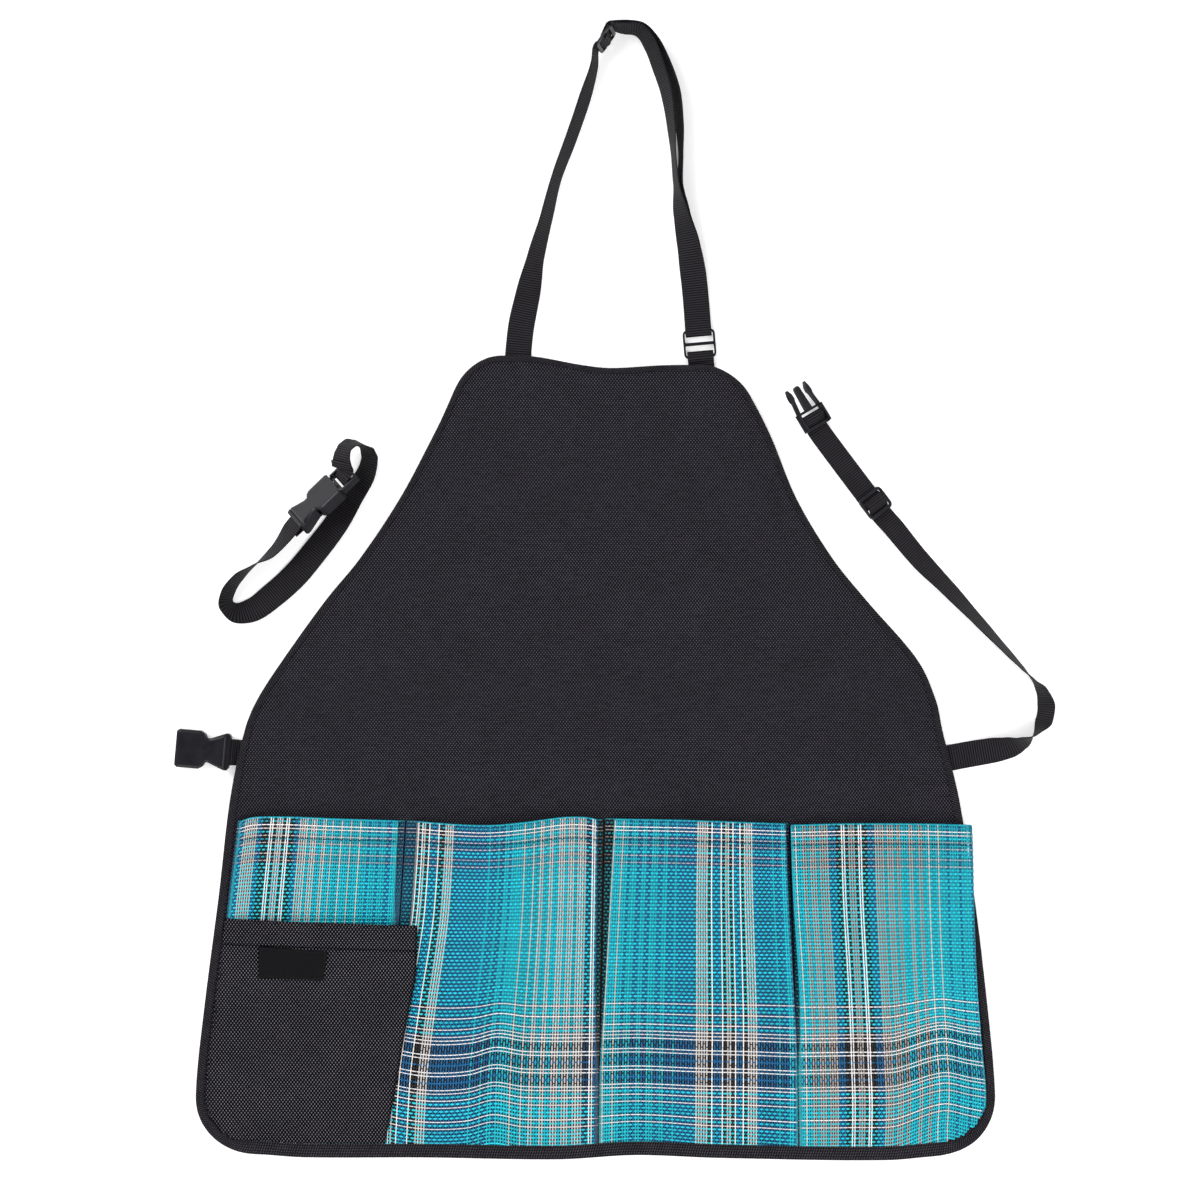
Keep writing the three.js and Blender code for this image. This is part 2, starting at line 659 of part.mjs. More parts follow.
// A flat strap along its stations. From the station where it turns back, it lies along its own first layer.
function strap(stations, turn = stations.length) {
  const path = new THREE.CatmullRomCurve3(stations.map(({ point }) => point), false, 'centripetal');
  const segments = stations.length - 1;
  const sections = [];
  for (let i = 0; i <= segments * STEPS; i += 1) {
    const t = i / (segments * STEPS);
    const from = Math.min(Math.floor(i / STEPS), segments - 1);
    const along = path.getTangent(t);
    const across = stations[from].across.clone().lerp(stations[from + 1].across, i / STEPS - from);
    across.addScaledVector(along, -across.dot(along)).normalize().multiplyScalar(WEBBING.width / 2);
    const normal = along.clone().cross(across).normalize().multiplyScalar(WEBBING.wall / 2);
    const middle = path.getPoint(t);
    const corner = (side, face) => (
      middle.clone().addScaledVector(across, side).addScaledVector(normal, face));
    sections.push([corner(-1, -1), corner(1, -1), corner(1, 1), corner(-1, 1)]);
  }
  return skin(sections, false, (i, j) => j === (i < turn * STEPS ? 2 : 0));
}

// Routes through the hard parts, as distance along and height
const SLIDER_PASS = [[-13, -2.3], [-9.3, -2.4], [-5, 0], [0, 2.4], [5, 0], [9.3, -2.4], [13, -2.3]];
const SLIDER_RETURN = [[13, -4.2], [9.3, -4.2], [5, -3.5], [0, -2.4], [-1.4, -2.3]];
const MALE_WRAP = [[-5, -2.3], [1, -2.5], [6.3, 0], [11, 2.4], [15, 0], [11, -2.4], [6.3, -3.3],
  [1, -4.3], [-5, -4.1]];
const LINK_BAR = (LINK.along - BAR.outer) / 2;
const LINK_TOP_WRAP = [[-LINK_BAR - 6, 1.9], [-LINK_BAR, 2.4], [-LINK_BAR + 4.8, 0], [-LINK_BAR, -2.4],
  [-LINK_BAR - 6, -2.4]];
const LINK_LOW_WRAP = [[LINK_BAR + 3, -2.3], [LINK_BAR, -2.4], [LINK_BAR - 4.8, 0], [LINK_BAR, 2.4],
  [LINK_BAR + 2.4, 2.2]];
const FEMALE_WRAP = [[51, -2.1], [46.5, -2.2], [42.4, 0], [46.5, 2.2], [51, 2.1]];
const EXTENDER_END = [[61, -1.8], [56, -2]];
const EXTENDER_START = [[56, 1.6], [62, 0.6]];
const EXTENDER_WRAP = [[-5, -2.3], [1, -2.5], [6.3, 0], [11, 2.4], [15, 0], [11, -2.4], [6.3, -3.4],
  [1, -4.4]];

function neckStrap() {
  const slider = fitting(NECK_SLIDER_AT);
  const link = fitting(NECK_LINK_AT);
  const down = overSurface(NECK_RIGHT_RUN);
  const first = [
    ...overSurface(NECK_LEFT_RUN),
    ...SLIDER_PASS.map((place) => inFitting(slider, place)),
    ...down,
  ];
  return strap([
    ...first,
    ...LINK_TOP_WRAP.map((place) => inFitting(link, place)),
    ...doubledBack(down, NECK_RIGHT_RUN).slice(0, -1),
    ...SLIDER_RETURN.map((place) => inFitting(slider, place)),
  ], first.length + 2);
}

function neckTab() {
  const link = fitting(NECK_LINK_AT);
  const lower = overSurface(NECK_TAB_RUN).reverse();
  const upper = overSurface(NECK_TAB_RUN.map((row) => ({ ...row, lift: row.upper })));
  return strap([...lower, ...LINK_LOW_WRAP.map((place) => inFitting(link, place)), ...upper]);
}

function waistTab() {
  const female = fitting(WAIST_FEMALE_AT);
  const lower = overSurface(WAIST_TAB_RUN).reverse();
  const upper = overSurface(WAIST_TAB_RUN.map((row) => ({ ...row, lift: row.upper })));
  return strap([...lower, ...FEMALE_WRAP.map((place) => inFitting(female, place)), ...upper]);
}

function waistStrap() {
  const slider = fitting(WAIST_SLIDER_AT);
  const male = fitting(WAIST_MALE_AT);
  return strap([
    ...overSurface(WAIST_RUN),
    ...SLIDER_PASS.slice(1).map((place) => inFitting(slider, place)),
    ...MALE_WRAP.map((place) => inFitting(male, place)),
    ...SLIDER_RETURN.map((place) => inFitting(slider, place)),
  ]);
}

function extenderStrap() {
  const female = fitting(EXTENDER_FEMALE_AT);
  const male = fitting(EXTENDER_MALE_AT);
  return strap([
    ...EXTENDER_END.map((place) => inFitting(female, place)),
    ...FEMALE_WRAP.map((place) => inFitting(female, place)),
    ...EXTENDER_START.map((place) => inFitting(female, place)),
    ...overSurface(EXTENDER_RUN),
    ...EXTENDER_WRAP.map((place) => inFitting(male, place)),
  ]);
}

// Rectangle with rounded corners, as an outline or a hole
function roundedRectangle(path, [x0, x1], halfWidth, radius) {
  const [low, high] = [-halfWidth, halfWidth];
  path.moveTo(x0 + radius, low);
  path.lineTo(x1 - radius, low);
  path.absarc(x1 - radius, low + radius, radius, -Math.PI / 2, 0);
  path.lineTo(x1, high - radius);
  path.absarc(x1 - radius, high - radius, radius, 0, Math.PI / 2);
  path.lineTo(x0 + radius, high);
  path.absarc(x0 + radius, high - radius, radius, Math.PI / 2, Math.PI);
  path.lineTo(x0, low + radius);
  path.absarc(x0 + radius, low + radius, radius, Math.PI, Math.PI * 1.5);
  return path;
}

function plate(shape, thick) {
  const geometry = new THREE.ExtrudeGeometry(shape, { depth: thick, bevelEnabled: false, curveSegments: 3 });
  return geometry.translate(0, 0, -thick / 2);
}

// A flat frame with two slots, one on each side of its centre bar
function threeBar({ along, across }) {
  const frame = roundedRectangle(new THREE.Shape(), [-along / 2, along / 2], across / 2, BAR.corner);
  const slot = [BAR.centre / 2, along / 2 - BAR.outer];
  for (const [from, to] of [slot, [-slot[1], -slot[0]]]) {
    frame.holes.push(roundedRectangle(new THREE.Path(), [from, to], SLOT_WIDTH / 2, BAR.hole));
  }
  return plate(frame, BAR.thick);
}

function block([x0, x1], [y0, y1], [z0, z1]) {
  const box = new THREE.BoxGeometry(x1 - x0, y1 - y0, z1 - z0);
  return box.translate((x0 + x1) / 2, (y0 + y1) / 2, (z0 + z1) / 2);
}

function toManifold(geometry) {
  geometry.deleteAttribute('normal');
  geometry.deleteAttribute('uv');
  const merged = mergeVertices(geometry);
  return new wasm.Manifold(new wasm.Mesh({
    numProp: 3,
    vertProperties: new Float32Array(merged.attributes.position.array),
    triVerts: new Uint32Array(merged.index.array),
  }));
}

function fromManifold(manifold) {
  const mesh = manifold.getMesh();
  const geometry = new THREE.BufferGeometry();
  geometry.setAttribute('position', new THREE.BufferAttribute(new Float32Array(mesh.vertProperties), 3));
  geometry.setIndex(Array.from(mesh.triVerts));
  return geometry;
}

// Sprung arm of the pronged buckle half, with a leaf-shaped end
function armShape(side) {
  const arm = new THREE.Shape();
  const { tip, outer, inner } = ARM;
  arm.moveTo(MALE.length - 1, side * 14.6);
  arm.lineTo(31, side * 13);
  arm.quadraticCurveTo(36, side * (outer + 0.6), tip, side * 12);
  arm.quadraticCurveTo(37, side * (inner - 1.4), 32, side * 10.4);
  arm.lineTo(MALE.length - 1, side * 12.2);
  arm.closePath();
  return arm;
}

function prongShape() {
  const prong = new THREE.Shape();
  const { tip, root, end } = PRONG;
  prong.moveTo(MALE.length - 1, -root / 2);
  prong.lineTo(tip - end / 2, -end / 2);
  prong.absarc(tip - end / 2, 0, end / 2, -Math.PI / 2, Math.PI / 2);
  prong.lineTo(MALE.length - 1, root / 2);
  prong.closePath();
  return prong;
}

// Pronged half: an open frame for the strap, two sprung arms and a guide between them
function buckleMale() {
  const half = MALE.width / 2;
  const frame = roundedRectangle(new THREE.Shape(), [0, MALE.length], half, 2);
  for (const slot of MALE_SLOTS) {
    frame.holes.push(roundedRectangle(new THREE.Path(), slot, SLOT_WIDTH / 2, BAR.hole));
  }
  const tall = [-MALE.railHeight / 2, MALE.railHeight / 2];
  const pieces = [
    block([0.6, MALE.length - 0.4], [half - MALE.rail, half - 0.2], tall),
    block([0.6, MALE.length - 0.4], [0.2 - half, MALE.rail - half], tall),
    plate(prongShape(), PRONG.height),
    plate(armShape(1), ARM.height),
    plate(armShape(-1), ARM.height),
  ];
  const body = toManifold(plate(frame, MALE.bars));
  return fromManifold(pieces.reduce((sum, piece) => sum.add(toManifold(piece)), body));
}

function femaleShape() {
  const shape = new THREE.Shape();
  const { length, width, waist, block: blockEnd, waistAt, flare } = FEMALE;
  const half = width / 2;
  const side = (sign) => [
    [0, sign * (half - 2)], [2, sign * half], [blockEnd, sign * half], [blockEnd + 3.5, sign * (half - 2)],
    [waistAt - 1, sign * waist / 2], [waistAt + 2, sign * waist / 2],
    [flare, sign * (half - 0.6)], [flare + 3, sign * (half - 0.6)], [length, sign * (half - 3)],
  ];
  shape.setFromPoints([...side(-1), ...side(1).reverse()].map(([x, y]) => new THREE.Vector2(x, y)));
  return shape;
}

// Socket half: a waisted shell, open at its mouth and at its pinched sides, with a bar for its tab
function buckleFemale() {
  const { depth, width, height } = SOCKET;
  const tab = TAB_SOCKET;
  const rib = FEMALE_RIB;
  const beyond = 1;
  const top = FEMALE.thick / 2;
  const tabWidth = [-tab.width / 2, tab.width / 2];
  const socket = block([-beyond, depth], [-width / 2, width / 2], [-height / 2, height / 2]);
  const tabRoom = block([tab.from, FEMALE.length + beyond], tabWidth, [-tab.height / 2, tab.height / 2]);
  const wider = [tabWidth[0] - beyond, tabWidth[1] + beyond];
  const bar = block(tab.bar, wider, [-tab.barThick / 2, tab.barThick / 2]);
  const ridge = block([rib.from, rib.to], [-rib.width / 2, rib.width / 2], [top - beyond, top + rib.high]);
  const shell = toManifold(plate(femaleShape(), FEMALE.thick))
    .subtract(toManifold(socket))
    .subtract(toManifold(tabRoom))
    .add(toManifold(bar))
    .add(toManifold(ridge));
  return fromManifold(shell);
}

const apron = new THREE.Group();

function add(name, geometry, material, place) {
  const mesh = new THREE.Mesh(geometry, material);
  mesh.name = name;
  if (place) {
    const { origin, along, across, normal } = fitting(place);
    mesh.quaternion.setFromRotationMatrix(new THREE.Matrix4().makeBasis(along, across, normal));
    mesh.position.copy(origin);
  }
  apron.add(mesh);
}

add('apron_panel', apronPanel(), CLOTH_BLACK);
add('edge_binding', edgeBinding(), CLOTH_BLACK);
for (const pocket of POCKETS) add(pocket.name, meshPocket(pocket), MESH_TEAL);
add('black_pocket', blackPocket(), CLOTH_BLACK);
add('label_patch', labelPatch(), CLOTH_BLACK);
add('neck_strap', neckStrap(), WEBBING_BLACK);
add('neck_slider', threeBar(SLIDER), PLASTIC_BLACK, NECK_SLIDER_AT);
add('neck_link', threeBar(LINK), PLASTIC_BLACK, NECK_LINK_AT);
add('neck_tab', neckTab(), WEBBING_BLACK);
add('waist_tab', waistTab(), WEBBING_BLACK);
add('waist_buckle_female', buckleFemale(), PLASTIC_BLACK, WAIST_FEMALE_AT);
add('waist_strap', waistStrap(), WEBBING_BLACK);
add('waist_slider', threeBar(SLIDER), PLASTIC_BLACK, WAIST_SLIDER_AT);
add('waist_buckle_male', buckleMale(), PLASTIC_BLACK, WAIST_MALE_AT);
add('extender_strap', extenderStrap(), WEBBING_BLACK);
add('extender_buckle_female', buckleFemale(), PLASTIC_BLACK, EXTENDER_FEMALE_AT);
add('extender_buckle_male', buckleMale(), PLASTIC_BLACK, EXTENDER_MALE_AT);

export default apron;
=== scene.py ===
import math

import bpy
import numpy as np
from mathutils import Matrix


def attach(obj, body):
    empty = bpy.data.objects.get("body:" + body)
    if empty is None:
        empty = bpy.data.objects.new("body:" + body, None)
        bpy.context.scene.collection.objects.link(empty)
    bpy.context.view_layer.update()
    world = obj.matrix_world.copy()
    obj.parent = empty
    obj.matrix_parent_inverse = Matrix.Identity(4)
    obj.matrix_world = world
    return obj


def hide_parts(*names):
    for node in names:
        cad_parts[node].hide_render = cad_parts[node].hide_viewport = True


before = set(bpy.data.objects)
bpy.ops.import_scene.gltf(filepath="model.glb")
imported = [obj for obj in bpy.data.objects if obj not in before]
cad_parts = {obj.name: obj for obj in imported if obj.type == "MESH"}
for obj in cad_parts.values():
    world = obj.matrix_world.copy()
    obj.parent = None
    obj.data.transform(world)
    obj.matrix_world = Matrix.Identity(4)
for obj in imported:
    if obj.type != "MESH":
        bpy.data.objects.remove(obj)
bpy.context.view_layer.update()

# A bib apron for grooming work, laid on its back. Sizes and places are in millimetres, in the frame of the
# solids, and become metres when a mesh is made.
MM = 0.001
UP = np.array([0.0, 0.0, 1.0])


def table(columns, *rows):
    """Rows of a table, with the names of its columns. A row may leave out its last values."""
    return [dict(zip(columns.split(), row)) for row in rows]


# Walls and clearances
GAP = 0.3
PANEL_WALL = 1.2
MESH_WALL = 1.0
POCKET_WALL = 1.2
POCKET_HEM_WALL = 2.0
BINDING_WALL = 1.0
BINDING_GAP = 0.35
WEBBING_WIDTH = 25.0
WEBBING_WALL = 1.2
LAYER = WEBBING_WALL + GAP
SURFACE_CLEAR = 0.4

# Cut edge of the panel, hem to bib
HEM_Y = -541.0
BIB_Y = 219.5
HEM_RADIUS = 57.0
BIB_RADIUS = 28.0
SIDES = table(
    "y left right",
    (-541, -402, 362.5), (-473, -401.5, 362), (-392, -393, 354.5), (-296, -380.5, 343),
    (-200, -369, 328), (-132, -354.5, 311.5), (-104, -343, 305.5), (-65, -318, 287.5),
    (-8, -277, 238.5), (31, -245, 207), (88, -207, 172.5), (146, -176, 148.5), (184, -157, 130),
    (220, -139, 111),
)
BIB_WAVE = table("u rise", (0, 6), (0.17, 5), (0.4, -3), (0.55, -6), (0.8, -3.5), (1, -3))
BIB_WAVE_DEPTH = 60.0
# Cells of the cloth, and of the plan that its edge is taken from
PANEL_PLAN = dict(step=6.0, columns=110)
EDGE_PLAN = dict(step=5.0, columns=90)
OUTLINE_STEP = 4.0
CORNER_STEPS = 15
# How the laid hem wanders up and down, and between which heights above the hem that fades out
HEM_WAVE = table(
    "x rise",
    (-420, 0), (-350, 3), (-300, 0), (-180, -0.3), (-55, -2), (18, 2), (100, -0.8), (258, -2.8),
    (316, 1.5), (350, 0),
)
HEM_WAVE_FROM = 10.0
HEM_WAVE_DEPTH = 70.0

# Width of the binding on the faces of the panel: broad along the hem, narrow up the sides and round the bib
BINDING_FLANGES = table(
    "y width",
    (-541, 12.2), (-540, 11.6), (-537.5, 9.6), (-534.5, 7.8), (-520, 7), (-220, 6.4), (-130, 5.2),
    (-40, 4.4), (222, 4.2),
)
# Section of the binding on a face of the panel, from its inner edge: share of its width, and of its wall
BINDING_SECTION = table("width high", (1.0, 0.55), (0.95, 0.95), (0.75, 1.0), (0.42, 1.03), (0.17, 1.0))
# Round the edge it turns through these angles, about a line inside the edge
BINDING_TURNS = [60, 25, -10, -45, -75]
BINDING_TURN_INSET = 0.6
BINDING_STITCH_SHARE = 0.8

# The cloth lies on the surface, and rises over the binding and over the strap ends sewn behind it
EDGE_FLAT = 30.0
EDGE_RAMP = 70.0
END_RAMP = 60.0
STRAP_ENDS = table(
    "x y half_x half_y layers",
    (-95, 210, 60, 35.5, 1), (80, 210, 60, 35.5, 2), (-358, -152, 62, 40, 2), (318, -152, 62, 40, 1),
)
# Slow waves in the laid cloth: length of each wave, its heading in degrees, its height and its phase
CLOTH_WAVES = table(
    "length heading height phase",
    (310, 18, 0.22, 0.4), (205, 101, 0.18, 2.1), (140, 58, 0.12, 4.0), (95, 146, 0.08, 1.2),
)

# Mesh pockets
MESH_FOOT_Y = HEM_Y + 15.0
FOLD_SHARE = 0.55
TUCK_SHARE = 0.45
CROWN_POWER = 0.7
PLEAT_DEPTH = 12.0
SEAM_CLEAR = 0.35
# Seams and folds across the panel, from the foot of a pocket up to its mouth
SEAMS = [
    table("t x", (0, -221.5), (1, -201.5)),
    table("t x", (0, -17), (1, -11.5)),
    table("t x", (0, 174.7), (1, 166.6)),
]
FIRST_RIGHT = table("t x", (0, -225), (1, -207.5))
SECOND_LEFT = table(
    "t x",
    (0, -226), (0.2, -222), (0.33, -216.5), (0.46, -209.5), (0.59, -202), (0.7, -196.5),
    (0.85, -192.5), (1, -190),
)
SECOND_RIGHT = table("t x", (0, -20), (0.5, -18.5), (1, -16.5))
THIRD_LEFT = table("t x", (0, -15.5), (0.3, -14.2), (0.6, -9.5), (1, -2))
THIRD_RIGHT = table("t x", (0, 173.5), (0.35, 173), (0.54, 170), (0.78, 165.8), (1, 163.6))
FOURTH_LEFT = table("t x", (0, 177.5), (0.35, 176), (0.54, 173), (0.78, 168), (1, 165.6))
# How far the first pocket's side seam stands inside the edge of the panel, further where the black pocket
# lies, and how far its fold stands inside the seam
FIRST_LEFT = table("t inset", (0, 17), (0.54, 17), (0.67, 9.6), (1, 9.4))
FIRST_FOLD = 3.0
# How far the last pocket's side stands inside the edge of the panel, past which it swells at the mouth, and
# how far its seam does
PUFF = table("t inset", (0, 9.5), (0.12, 7.5), (0.25, 8.5), (0.5, 5), (0.7, 0), (1, -11))
LAST_SEAM = 16.0
# Where the mesh ends inside the binding: above the hem, and along a rounded corner that starts above the
# hem. Past a share of its height the last pocket is free to swell
MESH_CUT = dict(hem=8.0, corner=10.5, radius=47.0, free_from=0.3, swell=20.0)
# How the rows of the weave rise and sag across each pocket: low down in it, and at its mouth
LOW_WAVES = [
    table("u rise", (0, 0), (1, 0)),
    table("u rise", (0, 4), (0.1, -1), (0.23, -3.8), (0.4, -2), (0.52, 4), (0.66, 0), (1, -0.5)),
    table("u rise", (0, 1), (0.2, 2), (0.5, 0), (0.75, -1), (1, -3)),
    table("u rise", (0, -1), (0.3, 0), (0.5, 0.5), (0.6, 5), (0.7, 10.5), (0.79, 13), (0.9, 9), (1, 6)),
]
MOUTH_WAVES = [
    table("u rise", (0, -3), (0.08, 0.5), (0.3, 1), (0.6, -0.8), (1, -3)),
    table("u rise", (0, 0.5), (0.2, -2), (0.4, -3), (0.6, 0), (0.8, 4.5), (0.93, 4.5), (1, 2)),
    table("u rise", (0, 0), (0.4, -1), (0.7, -2.8), (1, -4.8)),
    table("u rise", (0, -0.5), (0.3, 1), (0.7, 1), (1, -0.5)),
]
LOW_WAVE_SHARE = table("t share", (-0.05, 1), (0.3, 1), (0.5, 0.3), (0.72, 0))
MOUTH_WAVE_FROM = 0.6

# Black pocket over the lower part of the first mesh pocket
BLACK_FOOT_Y = HEM_Y + 12.8
BLACK_MOUTH_Y = -316.0
# Shares of its height: where its hem starts and over how far the wall thickens there, where it is clear of
# the mesh, its rows, and its stitches
BLACK_HEM_FROM = 0.89
BLACK_HEM_STEP = 0.006
BLACK_RAISED_AT = 0.0095
BLACK_ROWS = table("start end count", (0, 0.05, 8), (0.05, 0.87, 46), (0.87, 0.91, 17), (0.91, 1.0, 8))
BLACK_COLUMNS = 56
BLACK_MOUTH_STITCHES = 0.99
BLACK_SIDE_STITCHES = dict(start=0.02, stop=0.99, num=80)
BLACK_LIFT = 7.0
BLACK_LIFT_POWER = 0.7
BLACK_MOUTH_DROP = 7.0
BLACK_SIDE = dict(seam=9.2, rise=11.2, fold=24.0)
BLACK_RIGHT = dict(seam_in=3.0, rise_out=2.5, rise_share=0.5, fold_share=0.75)
BLACK_FOLD = table(
    "share x",
    (0, -221.5), (0.15, -215), (0.4, -206), (0.6, -198.5), (0.78, -191.5), (1, -190),
)
# The sewn line of the black pocket's hem draws the cloth in
HEM_GROOVE = dict(share=0.886, width=0.0065, depth=2.4)
LABEL_WALL = 1.0
LABEL_GRID = dict(across=34, up=16)
LABEL_CORNERS = dict(
    low_left=(-342, -369), low_right=(-280, -371), high_left=(-341.5, -339), high_right=(-275.5, -343.5)
)

# Hard parts that the webbing passes through: place, heading along the strap, and roll about it
NECK_SLIDER = dict(x=-10, y=528, z=16, heading=55, roll=78)
NECK_LINK = dict(x=80, y=238, z=3.4, heading=-85, roll=0)
WAIST_SLIDER = dict(x=248, y=85, z=10.9, heading=127, roll=32)
WAIST_MALE = dict(x=194, y=158, z=11.4, heading=121, roll=32)
WAIST_FEMALE = dict(x=-421.5, y=-149, z=5.5, heading=-5, roll=0)
EXTENDER_FEMALE = dict(x=-267, y=101.5, z=18.6, heading=224, roll=50)
EXTENDER_MALE = dict(x=-252.25, y=115.74, z=18.6, heading=224, roll=50)

# Raised face of a buckle's socket half: half its width at distances from the mouth, and its relief
SOCKET_FACE = table(
    "along half",
    (0.4, 16.2), (2.2, 17.9), (22.9, 17.9), (26.3, 16), (29.1, 11.3), (31.9, 11.3), (46.8, 17.3),
    (48.4, 17.3),
)
SOCKET_RELIEF = dict(base=5.5, wall=0.8, sunk=0.35, high=1.0, slope=2.6, ramp=1.0, ramp_from=33.0,
                     ramp_to=46.0)
SOCKET_GRID = dict(along=64, across=41)

# Webbing routes over the surface: place of the middle line, roll from flat, how far it is lifted (or its
# upper layer is, in a tab), and how far the layers of a doubled strap spread
NECK_LEFT_RUN = table(
    "x y roll",
    (-95, 193, 0), (-94, 226, 0), (-91, 255, 4), (-85, 283, 22), (-77, 320, 52), (-67, 357, 64),
    (-57, 396, 70), (-43, 434, 67), (-30, 472, 66), (-21, 503, 75),
)
NECK_RIGHT_RUN = table(
    "x y roll spread",
    (8, 539, 74, 0.3), (22, 537, 68, 0.8), (32, 524, 64, 3), (40, 503, 65, 6), (48, 477, 68, 7.5),
    (52.5, 447, 74, 7), (55, 418, 82, 5.5), (57.5, 390, 80, 2.2), (62, 362, 58, 0.6),
    (69, 332, 36, 0.3), (74, 303, 12, 0.3), (77, 276, 0, 0.3),
)
WAIST_RUN = table(
    "x y roll lift",
    (290, -164.5, 0), (321, -159, 0), (340, -155.5, 2), (360, -152, 12), (376, -149, 32),
    (390, -144, 58), (401, -136, 90), (409, -124, 122), (411.5, -108, 124), (407, -94, 108),
    (399, -84, 90), (388, -72, 79), (372, -55, 72), (346, -27, 62), (318, 3, 50), (291, 31, 38),
    (266, 61, 33, 2.5),
)
NECK_TAB_RUN = table(
    "x y roll upper",
    (81.6, 219.8, 0, 1.85), (82, 216.3, 0, 1.5), (82.6, 208, 0, 1.5), (83.2, 200, 0, 1.5),
    (84, 190, 0, 1.5),
)
WAIST_TAB_RUN = table(
    "x y roll lift upper",
    (-367.8, -153.7, 0, 1.4, 4.6), (-365.2, -153.9, 0, 0.3, 2.1), (-362.3, -154.2, 0, 0, 1.5),
    (-358, -154.5, 0, 0, 1.5), (-350, -155, 0, 0, 1.5), (-335, -156, 0, 0, 1.5),
)
EXTENDER_RUN = table(
    "x y roll lift",
    (-329, 38, 66, 0.8), (-347, 25, 90), (-361, 14, 106), (-371, 0, 114), (-373, -12, 119),
    (-364, -20, 138), (-348, -17, 158), (-329, -3, 172), (-309, 15, 178), (-291, 36, 172),
    (-268, 66, 163), (-251, 95, 155), (-241, 110, 144), (-237, 121, 136), (-236, 130, 131, 0.5),
    (-238.5, 137.5, 112, 3), (-244.5, 142, 85, 8), (-252, 142, 66, 13.5), (-258, 137.5, 55, 18),
    (-260.5, 131, 48, 19.5), (-261, 124.5, 45, 18.5), (-260, 118, 45, 14.8),
)
EXTENDER_TAIL = table("x y roll lift", (-261, 117.3, 135, 15.8), (-262, 124, 135, 19.6))
# Distance between the ribs of the webbing
RIB = 2.3
# Routes through the hard parts, as distance along and height
LINK_BAR = 12.3
SLIDER_PASS = [(-13, -2.3), (-9.3, -2.4), (-5, 0), (0, 2.4), (5, 0), (9.3, -2.4), (13, -2.3)]
SLIDER_RETURN = [(13, -4.2), (9.3, -4.2), (5, -3.5), (0, -2.4), (-1.4, -2.3)]
MALE_WRAP = [(-5, -2.3), (1, -2.5), (6.3, 0), (11, 2.4), (15, 0), (11, -2.4), (6.3, -3.3), (1, -4.3),
             (-5, -4.1)]
LINK_TOP_WRAP = [(-LINK_BAR - 6, 1.9), (-LINK_BAR, 2.4), (-LINK_BAR + 4.8, 0), (-LINK_BAR, -2.4),
                 (-LINK_BAR - 6, -2.4)]
LINK_LOW_WRAP = [(LINK_BAR + 3, -2.3), (LINK_BAR, -2.4), (LINK_BAR - 4.8, 0), (LINK_BAR, 2.4),
                 (LINK_BAR + 2.4, 2.2)]
FEMALE_WRAP = [(51, -2.1), (46.5, -2.2), (42.4, 0), (46.5, 2.2), (51, 2.1)]
EXTENDER_END = [(61, -1.8), (56, -2)]
EXTENDER_START = [(56, 1.6), (62, 0.6)]
EXTENDER_WRAP = [(6, 3.4), (7.2, 0), (11, -2.4), (15, 0), (11, 2.4), (8, 4.8)]

# Plaid of the mesh: the colour of each yarn, half its width along the pocket and across it, and how far it
# stands proud of the weave in place of passing under
YARNS = {row["name"]: row for row in table(
    "name colour along across proud",
    ("cyan", "#12cddd", 0.85, 0.95, 0.0), ("teal", "#0da6ba", 0.85, 0.95, 0.0),
    ("blue", "#095e90", 0.85, 0.9, 0.0), ("navy", "#0b3c66", 0.8, 0.9, 0.0),
    ("white", "#f4f0ef", 0.6, 0.55, 0.7), ("pale", "#c2bebc", 0.74, 0.55, 0.45),
    ("grey", "#a29a97", 0.74, 0.55, 0.45), ("black", "#121014", 0.8, 0.7, 0.0),
)}
# Darkest and lightest share of its colour that a yarn has by chance
YARN_TONES = (0.74, 1.04)
# How many yarns of each colour follow one another across each pocket
WARP_1 = (
    "2 blue, 6 pale, 2 blue, 3 black, 2 white, 1 black, 3 pale, 1 black, 2 white, 2 black, 2 blue, "
    "4 pale, 1 teal, 3 pale, 2 teal, 2 pale, 2 teal, 1 pale, 3 teal, 1 pale, 3 teal, 1 pale, 3 teal, "
    "1 pale, 3 teal, 1 blue, 3 teal, 1 blue, 3 teal, 2 blue, 3 teal"
)
WARP_2 = (
    "1 white, 1 black, 1 white, 1 pale, 1 black, 1 white, 3 blue, 1 white, 2 black, 4 pale, 15 blue, "
    "1 teal, 3 blue, 1 teal, 2 blue, 2 teal, 1 blue, 5 teal, 1 pale, 3 teal, 1 pale, 2 teal, 2 pale, "
    "2 teal, 2 pale, 2 teal, 3 pale, 1 teal, 3 pale, 1 teal, 4 pale, 2 navy, 2 white, 1 blue"
)
WARP_3 = (
    "1 pale, 3 teal, 1 pale, 2 teal, 1 blue, 3 teal, 2 blue, 2 teal, 2 blue, 3 teal, 2 blue, 2 teal, "
    "3 blue, 1 teal, 8 blue, 5 pale, 1 black, 1 white, 3 blue, 1 white, 1 black, 2 pale, 1 black, "
    "1 white, 2 blue, 1 white, 1 black, 4 pale, 8 blue, 1 teal, 3 blue, 2 teal, 1 blue"
)
# In the last pocket many of the pale yarns are grey, a darker pale, which makes that pocket darker
WARP_4 = (
    "2 teal, 1 pale, 2 teal, 2 grey, 1 teal, 3 grey, 1 teal, 4 grey, 3 blue, 2 black, 2 white, "
    "1 black, 3 grey, 1 black, 2 white, 2 black, 3 blue, 4 grey, 1 teal, 3 grey, 1 teal, 2 grey, "
    "3 teal, 2 grey, 2 teal, 2 grey, 2 teal, 1 pale, 3 teal, 1 pale, 3 teal, 1 blue, 4 teal, 1 blue, "
    "4 teal, 1 blue, 1 teal"
)
